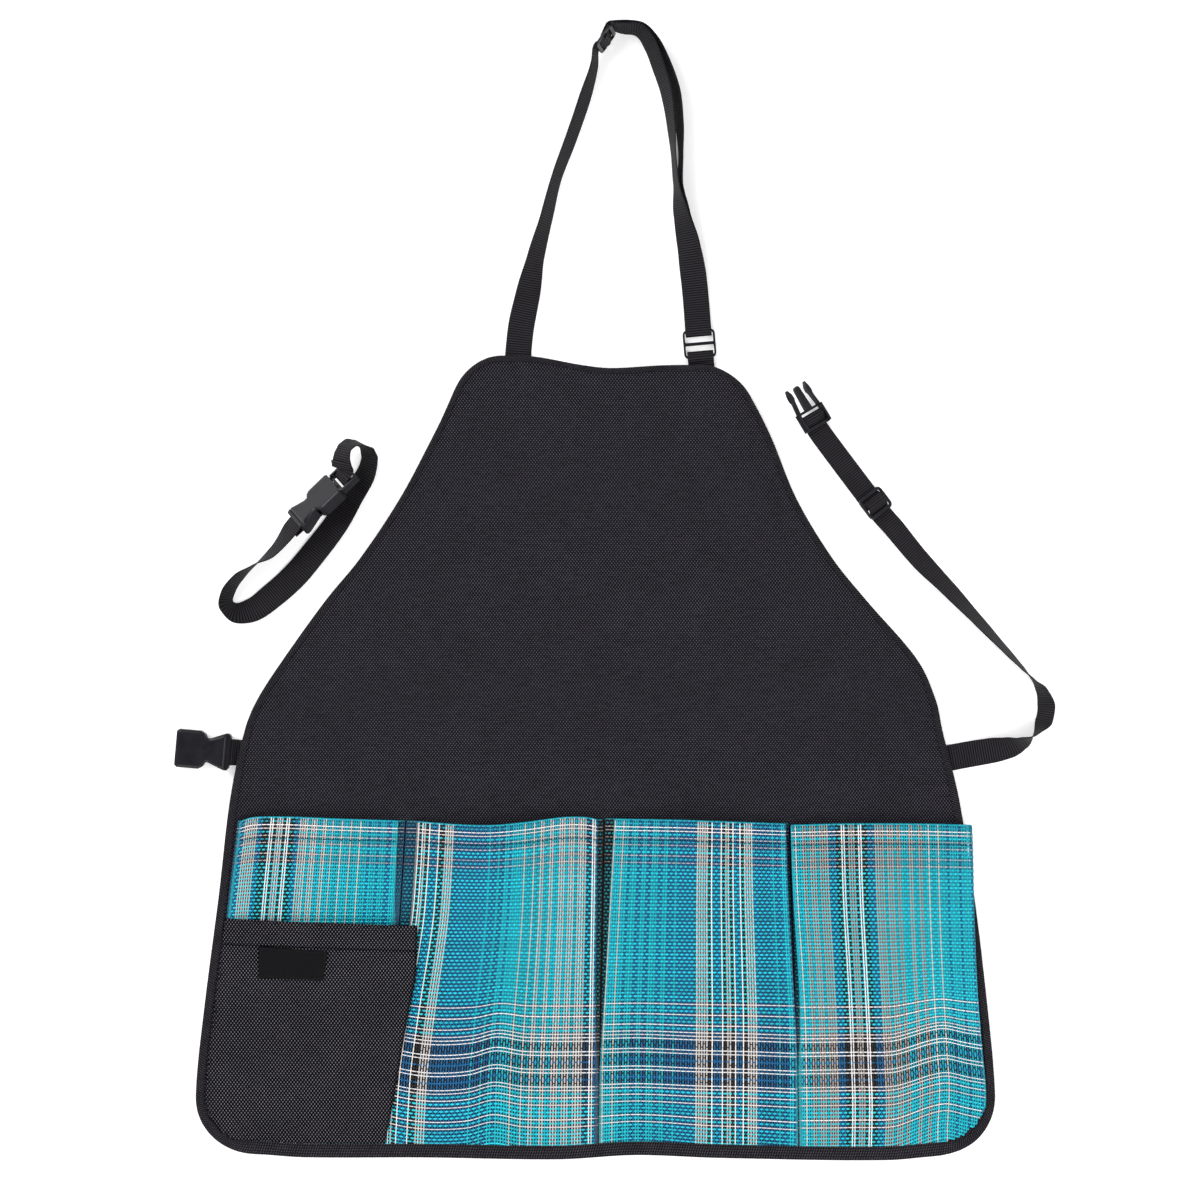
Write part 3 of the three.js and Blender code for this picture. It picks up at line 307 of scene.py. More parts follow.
# Rows of the weave from the mouth down to the foot
WEFT = (
    "2 teal, 2 white, 1 cyan, 1 pale, 1 teal, 1 pale, 2 cyan, 1 pale, 1 teal, 1 pale, 39 cyan, "
    "1 white, 2 cyan, 1 white, 2 cyan, 1 white, 1 cyan, 3 white, 2 black, 2 white, 1 black, 1 blue, "
    "1 black, 2 white, 1 black, 1 blue, 1 black, 2 white, 1 cyan, 1 white, 1 cyan, 1 white, 3 cyan, "
    "1 white, 1 cyan, 1 white, 4 cyan"
)
# Rows below the foot, which the binding covers, and rows turned over behind the mouth
ROWS_UNDER_BINDING = 5
HEM_ROWS_DOUBLED = 6
# How far behind the front those rows lie, and the share of the pocket's height that the stitches are at
HEM_TURN = 1.5
HEM_STITCHES = 0.932
# Yarns in a pleat, and how much of their colour is kept there, as painted shade in the pleat
PLEAT_YARNS = 12
PLEAT_SHADE = 0.45
# Height of a yarn, of its way over and under the others, and of those that stand proud
YARN_HEIGHT = 0.45
YARN_WAVE = 0.4
PROUD_RISE = 0.64
# The mesh is pressed flat where it runs in under the binding of the hem, at heights above the hem
HEM_PRESS = dict(from_height=12.5, to_height=19.0, depth=0.35, calm=0.7)

# The view from straight above: its width and its middle, and the height of the camera in metres
PHOTO_WIDTH = 1152.0
PHOTO_CENTRE = (-15.4, -7.7)
CAMERA_HEIGHT = 3.2
# The room is brightest at its walls and dimmest overhead, so that flat dark faces stay dark from above
WALL_TO_CEILING = {"From Min": 0.15, "From Max": 0.95, "To Min": 1.0, "To Max": 0.3}
LIGHTS = table(
    "name place size power",
    ("key", (-1.7, 1.4, 1.9), 1.6, 62.0), ("fill", (1.9, -0.7, 1.9), 1.8, 40.0),
    ("low", (-0.6, -2.1, 1.9), 1.8, 28.0),
)


def smoothstep(value, low, high):
    t = np.clip((value - low) / (high - low), 0.0, 1.0)
    return t * t * (3.0 - 2.0 * t)


def lerp(a, b, t):
    return a + (b - a) * t


def unit(vectors):
    return vectors / np.maximum(np.linalg.norm(vectors, axis=-1, keepdims=True), 1e-9)


def ramp(distance, flat, end):
    """1 up to a distance, then falling evenly to 0."""
    return np.clip((end - distance) / (end - flat), 0.0, 1.0)


def column(rows, key):
    return np.array([row[key] for row in rows], float)


def between(start, start_slope, end, end_slope, t):
    """A smooth curve from one value to another, with a slope at each."""
    rest = 1 - t
    rising = start * rest**2 * (1 + 2 * t) + start_slope * t * rest**2
    return rising + end * t**2 * (3 - 2 * t) - end_slope * t**2 * rest


def distances(line):
    """Distance along a line at each of its points."""
    return np.concatenate([[0.0], np.cumsum(np.linalg.norm(np.diff(line, axis=0), axis=1))])


def places_along(line, run, at):
    """Places on a line at distances along it."""
    return np.stack([np.interp(at, run, line[:, i]) for i in range(line.shape[1])], axis=-1)


def table_value(rows, key, value, at):
    """Value of one column of a table where its key column has a given value, on a smooth curve."""
    keys, values = column(rows, key), column(rows, value)
    order = np.arange(len(rows))
    before = np.maximum(order - 1, 0)
    after = np.minimum(order + 1, len(rows) - 1)
    slopes = (values[after] - values[before]) / (keys[after] - keys[before])
    i = np.clip(np.searchsorted(keys, at) - 1, 0, len(rows) - 2)
    span = keys[i + 1] - keys[i]
    t = np.clip((at - keys[i]) / span, 0.0, 1.0)
    return between(values[i], span * slopes[i], values[i + 1], span * slopes[i + 1], t)


def corner_inset(height, radius):
    """How far a rounded corner draws an edge in, at a height above the corner."""
    short = np.clip(radius - height, 0.0, radius)
    return radius - np.sqrt(radius**2 - short**2)


def side_x(y, side, inset=0.0):
    """Side of the panel before its corners are rounded, or a line a distance inside it."""
    inward = 1.0 if side == "left" else -1.0
    return table_value(SIDES, "y", side, y) + inward * inset


def edge_x(y, side, inset=0.0):
    """Side edge of the panel, or a line a distance inside it."""
    inward = 1.0 if side == "left" else -1.0
    hem = corner_inset(y - HEM_Y - inset, HEM_RADIUS - inset)
    bib = corner_inset(BIB_Y - inset - y, BIB_RADIUS)
    return side_x(y, side, inset) + inward * (hem + bib)


def panel_heights(step):
    """Rows of the panel from the hem to the bib, close together round its corners."""
    turn = np.linspace(0.0, math.pi / 2, CORNER_STEPS)
    hem = HEM_Y + HEM_RADIUS * (1 - np.cos(turn))
    bib = BIB_Y - BIB_RADIUS * (1 - np.cos(turn[::-2]))
    count = int((bib[0] - hem[-1]) / step)
    return np.concatenate([hem, np.linspace(hem[-1], bib[0], count + 1)[1:-1], bib])


def panel_plan(step, columns):
    """Places of the panel's cloth: rows from the hem to the bib, columns across."""
    y = panel_heights(step)[:, None]
    u = np.linspace(0.0, 1.0, columns)[None, :]
    x = lerp(edge_x(y, "left"), edge_x(y, "right"), u)
    rise = table_value(BIB_WAVE, "u", "rise", u)
    return np.stack([x, y + rise * smoothstep(y, BIB_Y - BIB_WAVE_DEPTH, BIB_Y)], axis=-1)


def panel_outline(step):
    """Edge of the panel, anticlockwise from the left of the hem, at even distances."""
    plan = panel_plan(**EDGE_PLAN)
    edge = np.concatenate([plan[0, :-1], plan[:-1, -1], plan[-1, :0:-1], plan[:0:-1, 0]])
    line = np.concatenate([edge, edge[:1]])
    run = distances(line)
    count = int(round(run[-1] / step))
    return places_along(line, run, np.linspace(0.0, run[-1], count + 1)[:-1])


OUTLINE = panel_outline(OUTLINE_STEP)
BED_CELL = 5.0
BED_START = np.array([-430.0, -560.0])
BED_COUNT = (170, 165)


def bed_table():
    """Height of the panel's underside over the surface, at even places."""
    xs = BED_START[0] + BED_CELL * np.arange(BED_COUNT[0])
    ys = BED_START[1] + BED_CELL * np.arange(BED_COUNT[1])
    heights = np.zeros(BED_COUNT)
    for i, x in enumerate(xs):
        inside = np.min(np.hypot(x - OUTLINE[:, 0][None, :], ys[:, None] - OUTLINE[:, 1][None, :]), axis=1)
        outside = (x < edge_x(ys, "left")) | (x > edge_x(ys, "right")) | (ys < HEM_Y) | (ys > BIB_Y)
        inside = np.where(outside, 0.0, inside)
        lift = np.zeros_like(ys)
        for end in STRAP_ENDS:
            out_x = abs(x - end["x"]) - end["half_x"]
            out_y = np.abs(ys - end["y"]) - end["half_y"]
            high = end["layers"] * LAYER + SURFACE_CLEAR
            lift = np.maximum(lift, high * ramp(out_x, 0.0, END_RAMP) * ramp(out_y, 0.0, END_RAMP))
        heights[i] = (BINDING_WALL + BINDING_GAP) * ramp(inside, EDGE_FLAT, EDGE_RAMP) + lift
        for wave in CLOTH_WAVES:
            turn = math.radians(wave["heading"])
            across = x * math.cos(turn) + ys * math.sin(turn)
            angle = 2 * math.pi * across / wave["length"] + wave["phase"]
            heights[i] += wave["height"] * (1 + np.sin(angle))
    return heights


BED = bed_table()


def bed_height(x, y):
    fx = np.clip((x - BED_START[0]) / BED_CELL, 0, BED_COUNT[0] - 1.001)
    fy = np.clip((y - BED_START[1]) / BED_CELL, 0, BED_COUNT[1] - 1.001)
    i = fx.astype(int)
    j = fy.astype(int)
    low = lerp(BED[i, j], BED[i + 1, j], fx - i)
    high = lerp(BED[i, j + 1], BED[i + 1, j + 1], fx - i)
    return lerp(low, high, fy - j)


# Meshes
def grid_faces(rows, columns, wrap_rows=False, wrap_columns=False):
    """Four-sided faces over a grid of points, and the grid places of their corners."""
    r, c = np.meshgrid(
        np.arange(rows if wrap_rows else rows - 1),
        np.arange(columns if wrap_columns else columns - 1),
        indexing="ij",
    )
    corners = [(r, c), (r, c + 1), (r + 1, c + 1), (r + 1, c)]
    faces = np.stack([(i % rows) * columns + j % columns for i, j in corners], axis=-1)
    places = np.stack([np.stack(corner, axis=-1) for corner in corners], axis=2)
    return faces.reshape(-1, 4), places.reshape(-1, 4, 2)


def facing_out(points, faces):
    """Whether the faces of a closed mesh point out."""
    a, b, c, d = (points[faces[:, i]] for i in range(4))
    volume = np.einsum("ij,ij->i", a, np.cross(b, c)).sum()
    return volume + np.einsum("ij,ij->i", a, np.cross(c, d)).sum() >= 0


def hem_settled(points):
    x, y, z = points.T
    felt = 1.0 - smoothstep(y, HEM_Y + HEM_WAVE_FROM, HEM_Y + HEM_WAVE_DEPTH)
    return np.stack([x, y + felt * table_value(HEM_WAVE, "x", "rise", x), z], axis=1)


def end_caps(rings, around):
    """Triangles over the first and the last ring of a tube."""
    fan = np.array([[0, i + 1, i] for i in range(1, around - 1)])
    return np.concatenate([fan, (rings - 1) * around + fan[:, ::-1]])


def new_piece(name, points, quads, material, slot, triangles=None, places=None, colours=None):
    """A mesh piece that rides on the apron. places are the corners' cloth coordinates."""
    if slot != "webbing":
        points = hem_settled(points)
    flip = not facing_out(points, quads)
    faces = (quads[:, ::-1] if flip else quads).tolist()
    if triangles is not None:
        faces += (triangles[:, ::-1] if flip else triangles).tolist()
    mesh = bpy.data.meshes.new(name)
    mesh.from_pydata((points * MM).tolist(), [], faces)
    if places is not None:
        uv = (places[:, ::-1] if flip else places).reshape(-1, 2)
        if triangles is not None:
            uv = np.concatenate([uv, np.zeros((triangles.size, 2))])
        mesh.uv_layers.new(name="cloth").data.foreach_set("uv", uv.astype(np.float32).ravel())
    if colours is not None:
        layer = mesh.color_attributes.new("yarn", "FLOAT_COLOR", "POINT")
        layer.data.foreach_set("color", colours.astype(np.float32).ravel())
    mesh.shade_smooth()
    mesh.materials.append(material)
    piece = bpy.data.objects.new(name, mesh)
    bpy.context.scene.collection.objects.link(piece)
    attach(piece, "root")
    return piece


def grid_normals(points):
    return unit(np.cross(np.gradient(points, axis=1), np.gradient(points, axis=0)))


def cloth_wall(name, middle, wall, material, slot):
    """A closed wall of cloth about a grid of points on its middle surface."""
    rows, columns = middle.shape[:2]
    shift = grid_normals(middle) * (np.asarray(wall).reshape(-1, 1, 1) / 2)
    points = np.concatenate([(middle + shift).reshape(-1, 3), (middle - shift).reshape(-1, 3)])
    top, _ = grid_faces(rows, columns)
    back = rows * columns
    rim = np.concatenate([
        np.arange(columns - 1),
        columns * np.arange(rows - 1) + columns - 1,
        back - 1 - np.arange(columns - 1),
        back - columns - columns * np.arange(rows - 1),
    ])
    after = np.roll(rim, -1)
    edge = np.stack([rim, rim + back, after + back, after], axis=-1)
    return new_piece(name, points, np.concatenate([top, top[:, ::-1] + back, edge]), material, slot)


# Materials
def linear(colour):
    """Linear colour of a #rrggbb value."""
    parts = [int(colour[i:i + 2], 16) / 255 for i in (1, 3, 5)]
    return tuple(p / 12.92 if p <= 0.04045 else ((p + 0.055) / 1.055) ** 2.4 for p in parts) + (1.0,)


class Finish:
    """A material whose principled shader is fed by nodes."""

    def __init__(self, name, **sockets):
        self.material = bpy.data.materials.new(name)
        self.material.use_nodes = True
        self.tree = self.material.node_tree
        self.shader = self.tree.nodes["Principled BSDF"]
        for socket, value in sockets.items():
            self.shader.inputs[socket.replace("_", " ")].default_value = value

    def node(self, kind, inputs=None, **settings):
        made = self.tree.nodes.new("ShaderNode" + kind)
        for setting, value in settings.items():
            setattr(made, setting, value)
        for socket, value in (inputs or {}).items():
            if isinstance(value, bpy.types.NodeSocket):
                self.tree.links.new(value, made.inputs[socket])
            else:
                made.inputs[socket].default_value = value
        return made

    def math(self, operation, *values):
        return self.node("Math", dict(enumerate(values)), operation=operation).outputs[0]

    def place(self):
        """Object coordinates in millimetres, as three sockets."""
        where = self.node("TexCoord").outputs["Object"]
        scaled = self.node("VectorMath", {0: where, "Scale": 1 / MM}, operation="SCALE").outputs[0]
        return scaled, self.node("SeparateXYZ", {0: scaled}).outputs

    def cloth(self):
        """Cloth coordinates of a piece, as two sockets."""
        where = self.node("UVMap", uv_map="cloth").outputs[0]
        return where, self.node("SeparateXYZ", {0: where}).outputs

    def times(self, a, b):
        return self.math("MULTIPLY", a, b)

    def plus(self, a, b):
        return self.math("ADD", a, b)

    def wave(self, value, length, shape="SINE"):
        """A wave of a length along a value."""
        return self.math(shape, self.times(value, 2 * math.pi / length))

    def noise(self, where, scale, detail):
        inputs = {"Vector": where, "Scale": scale, "Detail": detail, "Roughness": 0.55}
        return self.node("TexNoise", inputs).outputs["Fac"]

    def ramp(self, factor, *stops):
        made = self.node("ValToRGB", {0: factor})
        elements = made.color_ramp.elements
        while len(elements) < len(stops):
            elements.new(0.5)
        for element, (at, colour) in zip(elements, stops):
            element.position = at
            element.color = linear(colour)
        return made.outputs[0]

    def scaled(self, value, low, high):
        """A value from 0 to 1, spread between two numbers."""
        return self.node("MapRange", {0: value, 3: low, 4: high}).outputs[0]

    def tinted(self, colour, factor):
        """A colour made lighter or darker by a factor."""
        inputs = {0: colour, "Scale": factor}
        return self.node("VectorMath", inputs, operation="SCALE").outputs[0]

    def set(self, socket, value):
        self.tree.links.new(value, self.shader.inputs[socket])

    def done(self, colour, roughness, bumps=None, depth=0.0, strength=0.0):
        """The material, with its colour, its roughness, and bumps of a depth in millimetres."""
        self.set("Base Color", colour)
        self.set("Roughness", roughness)
        if bumps is not None:
            inputs = {"Height": bumps, "Distance": depth * MM, "Strength": strength}
            self.set("Normal", self.node("Bump", inputs).outputs[0])
        return self.material


def plain_weave(finish, across, up, pitch):
    """Height of a plain weave with a pitch each way, and which yarn lies on top."""
    x = finish.math("DIVIDE", across, pitch[0])
    y = finish.math("DIVIDE", up, pitch[1])
    cells = finish.plus(finish.math("FLOOR", x), finish.math("FLOOR", y))
    over = finish.math("FLOORED_MODULO", cells, 2.0)
    across_yarn = finish.math("SINE", finish.times(finish.math("FRACT", x), math.pi))
    up_yarn = finish.math("SINE", finish.times(finish.math("FRACT", y), math.pi))
    return finish.times(across_yarn, up_yarn), over


def canvas_finish(name, dark, light, pitch, slub, gap=0.0, cloud=0.2):
    """Heavy woven cloth: painted light on the crown of each yarn, brightest where the yarns of one set lie
    on top, and painted shade between the yarns; with thick places along the rows, and faint clouds of
    painted shade for soft folds.
    """
    finish = Finish(name, Specular_IOR_Level=0.06)
    where, (x, y, _) = finish.place()
    slanted = finish.plus(x, finish.times(y, 0.02))
    crown, over = plain_weave(finish, slanted, y, pitch)
    # Painted light and shade of the weave: light on the crown of each yarn, dark between the yarns and
    # where a yarn of the other set lies on top
    lit = finish.times(crown, finish.scaled(over, 0.12, 1.0))
    speckle = finish.noise(where, 0.9, 2.0)
    stretched = finish.node("Mapping", {"Vector": where, "Scale": (0.12, 0.62, 0.3)}).outputs[0]
    thick = finish.scaled(finish.noise(stretched, 1.0, 3.0), 1.0 - slub, 1.0 + slub)
    shade = finish.times(finish.times(lit, finish.scaled(speckle, 0.4, 1.6)), thick)
    colour = finish.ramp(shade, (gap, dark), (0.9, light))
    # Faint clouds of painted shade and light, which stand in for the shading of soft folds in the cloth
    cloudy = finish.scaled(finish.noise(where, 0.018, 4.0), 1.0 - cloud, 1.0 + cloud)
    colour = finish.tinted(colour, cloudy)
    height = finish.plus(crown, finish.times(speckle, 0.5))
    return finish.done(colour, finish.scaled(speckle, 0.72, 0.95), height, depth=0.35, strength=0.7)


def tape_finish(name, dark, light):
    """Ribbed tape: slanting ribs across it, crossed by fine rows along it, with painted light on their
    crests and painted shade between them.
    """
    finish = Finish(name, Specular_IOR_Level=0.08)
    where, (along, across, _) = finish.cloth()
    slanted = finish.plus(along, finish.times(across, 0.3))
    rib = finish.wave(slanted, 2.4)
    row = finish.wave(across, 2.6)
    weave = finish.times(finish.node("MapRange", {0: rib, 1: -1.0}).outputs[0],
                         finish.node("MapRange", {0: row, 1: -1.6}).outputs[0])
    speckle = finish.noise(where, 0.7, 2.0)
    patchy = finish.noise(where, 0.06, 3.0)
    # Painted light and shade: lighter on the crests of the ribs and rows, darker between them
    shade = finish.times(weave, finish.scaled(speckle, -0.4, 2.2))
    shade = finish.times(shade, finish.scaled(patchy, 0.4, 1.6))
    colour = finish.ramp(shade, (0.0, dark), (0.9, light))
    height = finish.plus(rib, row)
    return finish.done(colour, finish.scaled(speckle, 0.6, 0.9), height, depth=0.25, strength=0.9)


def webbing_finish(name, dark, light):
    """Flat webbing: its ribs are in the mesh, with painted shade between them and painted light on their
    crests, and fine yarns cross them.
    """
    finish = Finish(name, Specular_IOR_Level=0.1)
    where, (along, across, _) = finish.cloth()
    rib = finish.wave(along, RIB, "COSINE")
    # Painted light on the crests of the ribs and painted shade in the troughs between them
    crest = finish.node("MapRange", {0: rib, 1: -0.7, 2: 0.9, 3: 0.0, 4: 1.0}).outputs[0]
    yarn = finish.wave(across, 1.3)
    speckle = finish.noise(where, 1.4, 2.0)
    worn = finish.noise(where, 0.05, 3.0)
    shade = finish.times(crest, finish.scaled(speckle, 0.1, 1.5))
    colour = finish.ramp(shade, (0.0, dark), (0.9, light))
    colour = finish.tinted(colour, finish.scaled(worn, 0.7, 1.3))
    height = finish.plus(yarn, speckle)
    return finish.done(colour, finish.scaled(speckle, 0.5, 0.8), height, depth=0.1, strength=0.6)


def mesh_finish(name):
    """Vinyl-coated yarn: its own colour, softly glossy, with small flaws in the coating."""
    finish = Finish(name, Specular_IOR_Level=0.45)
    where, _ = finish.place()
    colour = finish.node("Attribute", attribute_name="yarn").outputs["Color"]
    fine = finish.noise(where, 1.6, 2.0)
    broad = finish.noise(where, 0.03, 3.0)
    shade = finish.times(finish.scaled(fine, 0.84, 1.12), finish.scaled(broad, 0.92, 1.08))
    colour = finish.tinted(colour, shade)
    return finish.done(colour, finish.scaled(fine, 0.34, 0.56), fine, depth=0.06, strength=0.5)


def plastic_finish(name, dark, light):
    """Moulded plastic: a fine spark-eroded grain, rubbed smoother in places."""
    finish = Finish(name, Specular_IOR_Level=0.2)
    where, _ = finish.place()
    grain = finish.noise(where, 2.6, 3.0)
    rubbed = finish.noise(where, 0.12, 3.0)
    colour = finish.ramp(rubbed, (0.25, dark), (0.8, light))
    return finish.done(colour, finish.scaled(rubbed, 0.24, 0.38), grain, depth=0.05, strength=0.5)


def thread_finish(name, dark, light):
    """Twisted sewing thread."""
    finish = Finish(name, Specular_IOR_Level=0.2)
    where, _ = finish.place()
    twist = finish.noise(where, 3.2, 1.0)
    colour = finish.ramp(twist, (0.25, dark), (0.75, light))
    return finish.done(colour, finish.scaled(twist, 0.5, 0.8), twist, depth=0.08, strength=0.6)


def satin_finish(name, dark, light):
    """Close satin weave of a woven patch, with painted light along the crests of its rows and painted shade
    between them.
    """
    finish = Finish(name, Specular_IOR_Level=0.08)
    where, (_, y, _) = finish.place()
    rows = finish.wave(y, 0.8)
    speckle = finish.noise(where, 1.8, 2.0)
    # Painted light and shade: lighter along the crests of the rows, darker between them
    shade = finish.times(finish.scaled(rows, 0.4, 0.7), finish.scaled(speckle, 0.5, 1.4))
    colour = finish.ramp(shade, (0.0, dark), (0.9, light))
    return finish.done(colour, finish.scaled(speckle, 0.42, 0.66), rows, depth=0.06, strength=0.5)


def floor_finish(name):
    # The floor glows faintly: painted light, which washes out the shadows cast on it
    finish = Finish(name, Specular_IOR_Level=0.15, Emission_Strength=0.25)
    where, _ = finish.place()
    faint = finish.noise(where, 0.004, 2.0)
    colour = finish.ramp(faint, (0.2, "#f7f7f7"), (0.8, "#fafafa"))
    return finish.done(colour, finish.scaled(faint, 0.75, 0.85))


CANVAS = canvas_finish("black_canvas", "#020104", "#4b4952", (1.45, 1.9), 0.7)
# The pocket keeps more of its weave dark, as painted shade between the yarns, and has stronger clouds of
# painted shade for its soft folds
POCKET_CANVAS = canvas_finish("pocket_canvas", "#010102", "#69666f", (1.6, 2.1), 0.3, gap=0.16, cloud=0.45)
TAPE = tape_finish("binding_tape", "#010102", "#454249")
WEBBING = webbing_finish("ribbed_webbing", "#010102", "#2d2a2f")
VINYL_MESH = mesh_finish("plaid_vinyl_mesh")
PLASTIC = plastic_finish("moulded_plastic", "#111015", "#1c1b21")
THREAD = thread_finish("black_thread", "#060608", "#1d1c20")
SATIN = satin_finish("woven_patch", "#010102", "#100f12")


# Stitches: sides of a thread, how far a row stands off coarse cloth, and the sizes of each kind
STITCH_SIDES = 6
STITCH_STAND = 0.1
STITCHES = dict(
    edge=dict(length=2.6, gap=1.0, thick=0.55),
    mesh=dict(length=3.2, gap=0.9, thick=0.75),
    black=dict(length=2.8, gap=1.1, thick=0.6),
    label=dict(length=1.8, gap=0.7, thick=0.45),
)
# One stitch from end to end, as shares of its length, half its thickness and its thickness
STITCH_SHAPE = table(
    "share radius dip",
    (0.0, 0.35, -0.5), (0.15, 0.9, 0.1), (0.5, 1.0, 0.2), (0.85, 0.9, 0.1), (1.0, 0.35, -0.5),
)


def stitch_row(name, line, kind, stand):
    """A row of sewn stitches along a line: each a short thread that dips at its ends."""
    length, gap, thick = (STITCHES[kind][key] for key in ("length", "gap", "thick"))
    run = distances(line)
    count = max(1, int(run[-1] / (length + gap)))
    starts = (np.arange(count) + 0.5) * run[-1] / count - length / 2
    radii = thick / 2 * column(STITCH_SHAPE, "radius")
    dips = thick * column(STITCH_SHAPE, "dip")
    middle = places_along(line, run, starts[:, None] + length * column(STITCH_SHAPE, "share"))
    middle = middle + UP * (stand + dips)[None, :, None]
    side = unit(np.cross(unit(np.gradient(middle, axis=1)), UP))
    turn = 2 * math.pi * np.arange(STITCH_SIDES)[:, None] / STITCH_SIDES
    ring = side[:, :, None] * np.cos(turn) + UP * np.sin(turn)
    points = (middle[:, :, None] + ring * radii[None, :, None, None]).reshape(-1, 3)
    rings = len(STITCH_SHAPE)
    first = (np.arange(count) * rings * STITCH_SIDES)[:, None, None]
    quads = (grid_faces(rings, STITCH_SIDES, wrap_columns=True)[0] + first).reshape(-1, 4)
    ends = (end_caps(rings, STITCH_SIDES) + first).reshape(-1, 3)
    return new_piece(name, points, quads, THREAD, "cloth", triangles=ends)


# Panel and binding
def apron_panel():
    plan = panel_plan(**PANEL_PLAN)
    bed = bed_height(plan[..., 0], plan[..., 1])
    middle = np.concatenate([plan, (bed + PANEL_WALL / 2)[..., None]], axis=-1)
    piece = cloth_wall("apron_cloth", middle, PANEL_WALL, CANVAS, "cloth")
    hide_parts("apron_panel")
    return piece


def outward_of(line):
    ahead = unit(np.roll(line, -1, axis=0) - np.roll(line, 1, axis=0))
    return np.stack([ahead[:, 1], -ahead[:, 0]], axis=1)


def edge_binding():
    """Tape folded round the edge of the panel, with a row of stitches near its inner edge."""
    outward = outward_of(OUTLINE)
    width = table_value(BINDING_FLANGES, "y", "width", OUTLINE[:, 1])
    thick = BINDING_GAP + BINDING_WALL

    def at(out, side, stand):
        """Points a distance out of the edge, standing off one face of the panel."""
        place = OUTLINE + outward * np.reshape(out, (-1, 1))
        bed = bed_height(place[:, 0], place[:, 1])
        face = bed + PANEL_WALL if side > 0 else bed
        return np.column_stack([place, face + side * stand])

    def flange(side):
        return [at(-width * row["width"], side, BINDING_GAP + BINDING_WALL * row["high"])
                for row in BINDING_SECTION]

    arc = []
    reach = GAP + BINDING_WALL + BINDING_TURN_INSET
    level = at(-BINDING_TURN_INSET, 1, 0.0)[:, 2] - PANEL_WALL / 2
    for turn in np.radians(BINDING_TURNS):
        point = OUTLINE + outward * (-BINDING_TURN_INSET + reach * math.cos(turn))
        arc.append(np.column_stack([point, level + (PANEL_WALL / 2 + thick) * math.sin(turn)]))
    inside = [at(out, side, BINDING_GAP) for out, side in ((-width, -1), (GAP, -1), (GAP, 1), (-width, 1))]
    sections = np.stack([*flange(1), *arc, *flange(-1)[::-1], *inside], axis=1)
    count, around = sections.shape[:2]
    faces, grid = grid_faces(count, around, wrap_rows=True, wrap_columns=True)
    run = OUTLINE_STEP * np.arange(count + 1)
    round_it = np.append(distances(sections[0]), 0.0)
    places = np.stack([run[grid[..., 0]], round_it[grid[..., 1]]], axis=-1)
    piece = new_piece("edge_tape", sections.reshape(-1, 3), faces, TAPE, "cloth", places=places)
    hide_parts("edge_binding")
    line = at(-width * BINDING_STITCH_SHARE, 1, thick)
    return [piece, stitch_row("edge_stitches", np.concatenate([line, line[:1]]), "edge", 0.0)]


# Mesh pockets
def charted(line, aside=0.0):
    """A line up the panel by a table, or a line aside of it."""
    return lambda y, t: table_value(line, "t", "x", np.clip(t, 0.0, 1.0)) + aside


def first_side(aside):
    def line(y, t):
        return edge_x(y, "left", table_value(FIRST_LEFT, "t", "inset", np.clip(t, 0.0, 1.0)) + aside)

    return line


def last_seam(y, t):
    return side_x(y, "right", LAST_SEAM)


def puffed_edge(y, t):
    return side_x(y, "right", table_value(PUFF, "t", "inset", np.clip(t, 0.0, 1.0)))


def pocket_side(seam, fold, colours, tuck=PLEAT_DEPTH):
    """A pocket's side: its seam, the fold beside it, and the tuck and colours of the pleat between."""
    return dict(seam=seam, fold=fold, tuck=tuck, colours=colours.split())


POCKETS = [
    dict(
        name="mesh_pocket_1", warp=WARP_1, mouth=-215, lift=9, power=1.5, opens=(0.6, 0.95), width=218,
        left=pocket_side(first_side(0.0), first_side(FIRST_FOLD), "blue cyan", tuck=2),
        right=pocket_side(charted(SEAMS[0], -SEAM_CLEAR), charted(FIRST_RIGHT), "blue cyan"),
    ),
    dict(
        name="mesh_pocket_2", warp=WARP_2, mouth=-219, lift=11, power=0.6, opens=(0.2, 0.55), width=238,
        left=pocket_side(charted(SEAMS[0], SEAM_CLEAR), charted(SECOND_LEFT), "blue pale"),
        right=pocket_side(charted(SEAMS[1], -SEAM_CLEAR), charted(SECOND_RIGHT), "black blue"),
    ),
    dict(
        name="mesh_pocket_3", warp=WARP_3, mouth=-216, lift=11, power=0.6, opens=(0.2, 0.55), width=228,
        left=pocket_side(charted(SEAMS[1], SEAM_CLEAR), charted(THIRD_LEFT), "black cyan"),
        right=pocket_side(charted(SEAMS[2], -SEAM_CLEAR), charted(THIRD_RIGHT), "navy cyan"),
    ),
    dict(
        name="mesh_pocket_4", warp=WARP_4, mouth=-221.5, lift=11, power=0.6, opens=(0.2, 0.55), width=232,
        left=pocket_side(charted(SEAMS[2], SEAM_CLEAR), charted(FOURTH_LEFT), "navy cyan"),
        right=pocket_side(last_seam, puffed_edge, "navy cyan"),
    ),
]
for pocket, low, mouth in zip(POCKETS, LOW_WAVES, MOUTH_WAVES):
    pocket["waves"] = dict(low=low, mouth=mouth)


def mesh_bed(x, y):
    """Height of a mesh wall's middle where it lies on the panel."""
    return bed_height(x, y) + PANEL_WALL + GAP + MESH_WALL / 2


def mesh_lift(pocket, t):
    return pocket["lift"] * np.clip(t, 0.0, 1.0) ** pocket["power"]


